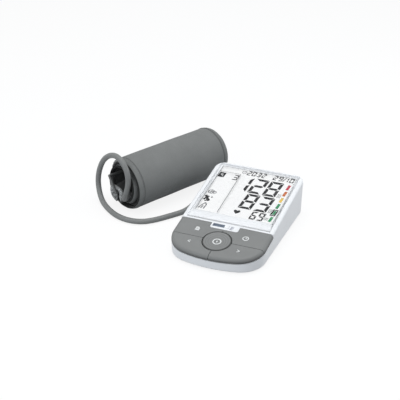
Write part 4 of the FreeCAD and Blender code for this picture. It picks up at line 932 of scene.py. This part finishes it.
def add_stitches(name, turns, offset, depths, pitch=3.1):
    """Sewn stitches: small raised threads laid end to end along the tapes."""
    mesh = bmesh.new()
    for turn in turns:
        (x, y), radius, start, stop = turn
        count = int(radius * math.radians(abs(stop - start)) / pitch)
        for index in range(count):
            angle = start + (stop - start) * (index + 0.5) / count
            for depth in depths:
                spot = turn_point(turn, offset, angle, depth)
                made = bmesh.ops.create_icosphere(mesh, subdivisions=1, radius=1.0)["verts"]
                lay = (Matrix.Translation(spot) @ Matrix.Rotation(math.radians(angle), 4, "Z")
                       @ Matrix.Diagonal((0.2, 1.05, 0.24, 1)))
                bmesh.ops.transform(mesh, matrix=lay, verts=made)
    ruffle(mesh, 0.22)
    add_piece(name, mesh, CUFF, [THREAD], "cuff_and_hose", (), FLOOR_CLEAR)


PUFFING_FRAMES = 20


def fill_with_air(piece, voxel, pressure, farthest):
    """Puff a closed piece up as stuffed cloth, and keep the result as its mesh."""
    scene = bpy.context.scene

    def worked_out():
        return bpy.data.meshes.new_from_object(piece.evaluated_get(bpy.context.evaluated_depsgraph_get()))

    even = piece.modifiers.new("even mesh", "REMESH")
    even.mode = "VOXEL"
    even.voxel_size = voxel
    piece.data = worked_out()
    piece.modifiers.clear()
    before = [vertex.co.copy() for vertex in piece.data.vertices]
    cloth = piece.modifiers.new("stuffed cloth", "CLOTH")
    cloth.settings.quality = 6
    cloth.settings.use_pressure = True
    cloth.settings.uniform_pressure_force = pressure
    cloth.settings.effector_weights.gravity = 0
    cloth.point_cache.frame_start = 1
    cloth.point_cache.frame_end = PUFFING_FRAMES
    for moment in range(1, PUFFING_FRAMES + 1):
        scene.frame_set(moment)
    puffed = worked_out()
    piece.modifiers.clear()
    for vertex, start, swollen in zip(piece.data.vertices, before, puffed.vertices):
        moved = swollen.co - start
        vertex.co = start + moved * min(1.0, farthest / max(moved.length, 1e-9))
    scene.frame_set(1)


def add_end_loop():
    """Padded loop at the inner end of the wrap, puffed up, with pile showing at its two ends and painted
    shade on its top.
    """
    front, back = 7.0, -CUFF_LENGTH - 5.6
    outer, inner, corner = 1.0, -7.9, 3.6
    profile = []
    for offset, depth, start in ((outer - corner, front - corner, 0), (inner + corner, front - corner, 90),
                                 (inner + corner, back + corner, 180), (outer - corner, back + corner, 270)):
        for step in range(4):
            turn = math.radians(start + 30 * step)
            profile.append((offset + corner * math.cos(turn), depth + corner * math.sin(turn)))
    long_side = [profile[7][1] + (profile[8][1] - profile[7][1]) * part / 40 for part in range(1, 40)]
    profile = (profile[:8] + [(inner, depth) for depth in long_side] + profile[8:]
               + [(outer, depth) for depth in reversed(long_side)])
    mesh = bmesh.new()
    roll_profile(mesh, profile, (LOOP_TURN,), 1.2, closed=True)
    bmesh.ops.holes_fill(mesh, edges=[edge for edge in mesh.edges if edge.is_boundary], sides=0)
    face_outward(mesh)
    piece = add_piece("cuff_end_loop_pad", mesh, CUFF, [PADDED_CLOTH, LOOP_PILE, LOOP_TOP_SHADE],
                      "cuff_and_hose", ["cuff_end_loop"], FLOOR_CLEAR)
    fill_with_air(piece, voxel=0.0014, pressure=4.0, farthest=0.0011)
    to_roll = CUFF.inverted()
    centre = Vector(LOOP_TURN[0])
    for vertex in piece.data.vertices:
        spot = to_roll @ vertex.co
        flat = Vector((spot.x - centre.x, spot.y - centre.y))
        proud = clamp((spot.z - 2.6) / 3.0)
        angle = math.degrees(math.atan2(flat.y, flat.x))
        if -178 < angle < -118:
            angle += 34 * proud * (1 - (-118 - angle) / 60)
        elif -43 < angle < 17:
            angle -= 22 * proud * (1 - (angle + 43) / 60)
        out = Vector((math.cos(math.radians(angle)), math.sin(math.radians(angle)), 0))
        squeezed = max(0.0, min(1.0, 0.55 - out.x * 0.75 - out.y * 0.45))
        lump = 0.35 * noise.noise(spot / 5.0) + 0.2 * noise.noise(spot / 2.2)
        near = clamp((spot.z + 4) / 10)
        rise = 1.0 * near * (0.6 + max(0.0, -out.x))
        reach = flat.length + lump + 3.4 * proud * squeezed * min(flat.length / 12, 1.0)
        lowered = 0.4 * max(0.0, out.y) ** 2 * clamp((spot.z + 14) / 14)
        reach -= lowered * max(0.0, reach - 3.0)
        reach -= 0.55 * max(0.0, 1 - abs(reach - 2.5) / 2.6) * near
        vertex.co = CUFF @ (Vector((*centre, spot.z + rise)) + out * reach)
    for face in piece.data.polygons:
        middle = to_roll @ face.center
        turned = (CUFF.to_3x3().inverted() @ face.normal).normalized()
        if abs(turned.z) > 0.72 and (middle.z > 3 or middle.z < 3 - CUFF_LENGTH):
            face.material_index = 1
        # painted shade: faces on the loop's top, inside the roll, take the near-black cloth
        elif turned.y > 0.3 and middle.y > centre.y + 2.5 and middle.z < 5.5:
            face.material_index = 2
        else:
            face.material_index = 0
    piece.data.shade_smooth()
    rounded = piece.modifiers.new("finer cloth", "SUBSURF")
    rounded.levels = rounded.render_levels = 1


def add_cuff():
    add_cloth("cuff_cloth", 1.0, 1.1, CUFF_CLOTH, "cuff_outer_fabric")
    add_cloth("cuff_lining_cloth", -1.05, 0.9, LINING_CLOTH, "cuff_lining")
    add_edge_tapes()
    add_stitches("tape_stitches", (OUTER_TURN,), 1.78, (-4.3, 4.3 - CUFF_LENGTH))
    add_end_loop()


# ---------------------------------------------------------------- air hose
HOSE_ROUTE = [
    (-0.0778, -0.0378, 0.0265), (-0.0744, -0.0392, 0.0360), (-0.0728, -0.0400, 0.0494),
    (-0.0777, -0.0377, 0.0624), (-0.0895, -0.0323, 0.0706), (-0.1028, -0.0253, 0.0670),
    (-0.1151, -0.0195, 0.0568), (-0.1232, -0.0164, 0.0416), (-0.1264, -0.0162, 0.0254),
    (-0.1235, -0.0195, 0.0114), (-0.1157, -0.0273, 0.0035), (-0.1022, -0.0402, 0.0034),
    (-0.0854, -0.0520, 0.0034), (-0.0674, -0.0574, 0.0034), (-0.0509, -0.0548, 0.0034),
    (-0.0394, -0.0458, 0.0034), (-0.0300, -0.0339, 0.0034), (-0.0225, -0.0237, 0.0034),
    (-0.0155, -0.0141, 0.0036), (-0.0108, -0.0052, 0.0054), (-0.0076, 0.0032, 0.0088),
    (-0.0065, 0.0082, 0.0106), (-0.0064, 0.0128, 0.0110),
]
HOSE_DIAMETER = 0.0066


def add_air_hose():
    curve = bpy.data.curves.new("air_hose_line", "CURVE")
    curve.dimensions = "3D"
    line = curve.splines.new("NURBS")
    line.points.add(len(HOSE_ROUTE) - 1)
    for point, spot in zip(line.points, HOSE_ROUTE):
        point.co = (*spot, 1)
    line.order_u = 3
    line.use_endpoint_u = True
    line.resolution_u = 12
    curve.bevel_depth = HOSE_DIAMETER / 2
    curve.bevel_resolution = 6
    curve.use_fill_caps = True
    curve.materials.append(HOSE_RUBBER)
    hose = bpy.data.objects.new("air_hose_tube", curve)
    show(hose)
    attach(hose, "cuff_and_hose")
    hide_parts("air_hose")


# ---------------------------------------------------------------- studio
def add_floor():
    mesh = bmesh.new()
    bmesh.ops.create_grid(mesh, x_segments=1, y_segments=1, size=3.0)
    data = bpy.data.meshes.new("studio_floor")
    mesh.to_mesh(data)
    mesh.free()
    floor = bpy.data.objects.new("studio_floor", data)
    show(floor)
    material = bpy.data.materials.new("studio floor paper")
    material.use_nodes = True
    tree = material.node_tree
    shader = tree.nodes["Principled BSDF"]
    seen = seen_directly(tree)
    paper = color_mix(tree, seen)
    paper.inputs["A"].default_value = (0.3, 0.31, 0.325, 1)
    paper.inputs["B"].default_value = (0.9, 0.9, 0.9, 1)
    tree.links.new(paper.outputs["Result"], shader.inputs["Base Color"])
    shader.inputs["Roughness"].default_value = 0.9
    shader.inputs["Specular IOR Level"].default_value = 0.1
    glow = tree.nodes.new("ShaderNodeEmission")
    glow.inputs["Color"].default_value = (1, 1, 1, 1)
    glow.inputs["Strength"].default_value = 1.03
    mix_shaders(tree, math_node(tree, "MULTIPLY", seen, 0.82), shader, glow, tree.nodes["Material Output"])
    data.materials.append(material)


def add_world():
    world = bpy.data.worlds.new("studio")
    bpy.context.scene.world = world
    world.use_nodes = True
    tree = world.node_tree
    light = tree.nodes["Background"]
    light.inputs["Color"].default_value = (0.92, 0.96, 1.0, 1)
    light.inputs["Strength"].default_value = 0.5
    white = tree.nodes.new("ShaderNodeBackground")
    white.inputs["Color"].default_value = (1, 1, 1, 1)
    white.inputs["Strength"].default_value = 1.0
    mix_shaders(tree, seen_directly(tree), light, white, tree.nodes["World Output"])


def add_lamp(name, spot, target, size, power, color=(1, 1, 1)):
    lamp = bpy.data.lights.new(name, "AREA")
    lamp.shape = "SQUARE"
    lamp.size = size
    lamp.energy = power
    lamp.color = color
    item = bpy.data.objects.new(name, lamp)
    item.location = spot
    item.rotation_euler = (Vector(target) - Vector(spot)).to_track_quat("-Z", "Y").to_euler()
    show(item)


def add_camera():
    around, above, away = math.radians(22.76), math.radians(28.24), 1.24775
    target = Vector((-0.01119, 0.02713, 0))
    back = Vector((math.sin(around) * math.cos(above), -math.cos(around) * math.cos(above), math.sin(above)))
    camera = bpy.data.cameras.new("camera")
    camera.sensor_width = 36
    camera.lens = 92.59
    camera.clip_start = 0.05
    item = bpy.data.objects.new("camera", camera)
    item.location = target + back * away
    item.rotation_euler = (-back).to_track_quat("-Z", "Y").to_euler()
    show(item)
    bpy.context.scene.camera = item


add_camera()
add_air_hose()
add_floor()
add_world()
add_lamp("overhead softbox", (0.0, 0.05, 1.3), (0, 0, 0), 1.1, 8.6)
add_lamp("front fill", (-0.4, -1.3, 0.45), (0, 0, 0.02), 0.9, 6.0, (0.92, 0.96, 1.0))
add_lamp("right fill", (0.62, 0.3, 0.3), (0.11, 0.05, 0.03), 0.4, 1.0, (0.92, 0.96, 1.0))
finish_nodes()
add_display_digits()
add_display_lines()
add_display_gasket()
add_display_symbols()
add_risk_bars()
add_key_marks()
add_slot_bed()
add_selector_slope_shade()
add_cuff()

bpy.context.scene.view_settings.view_transform = "Standard"
bpy.context.view_layer.update()
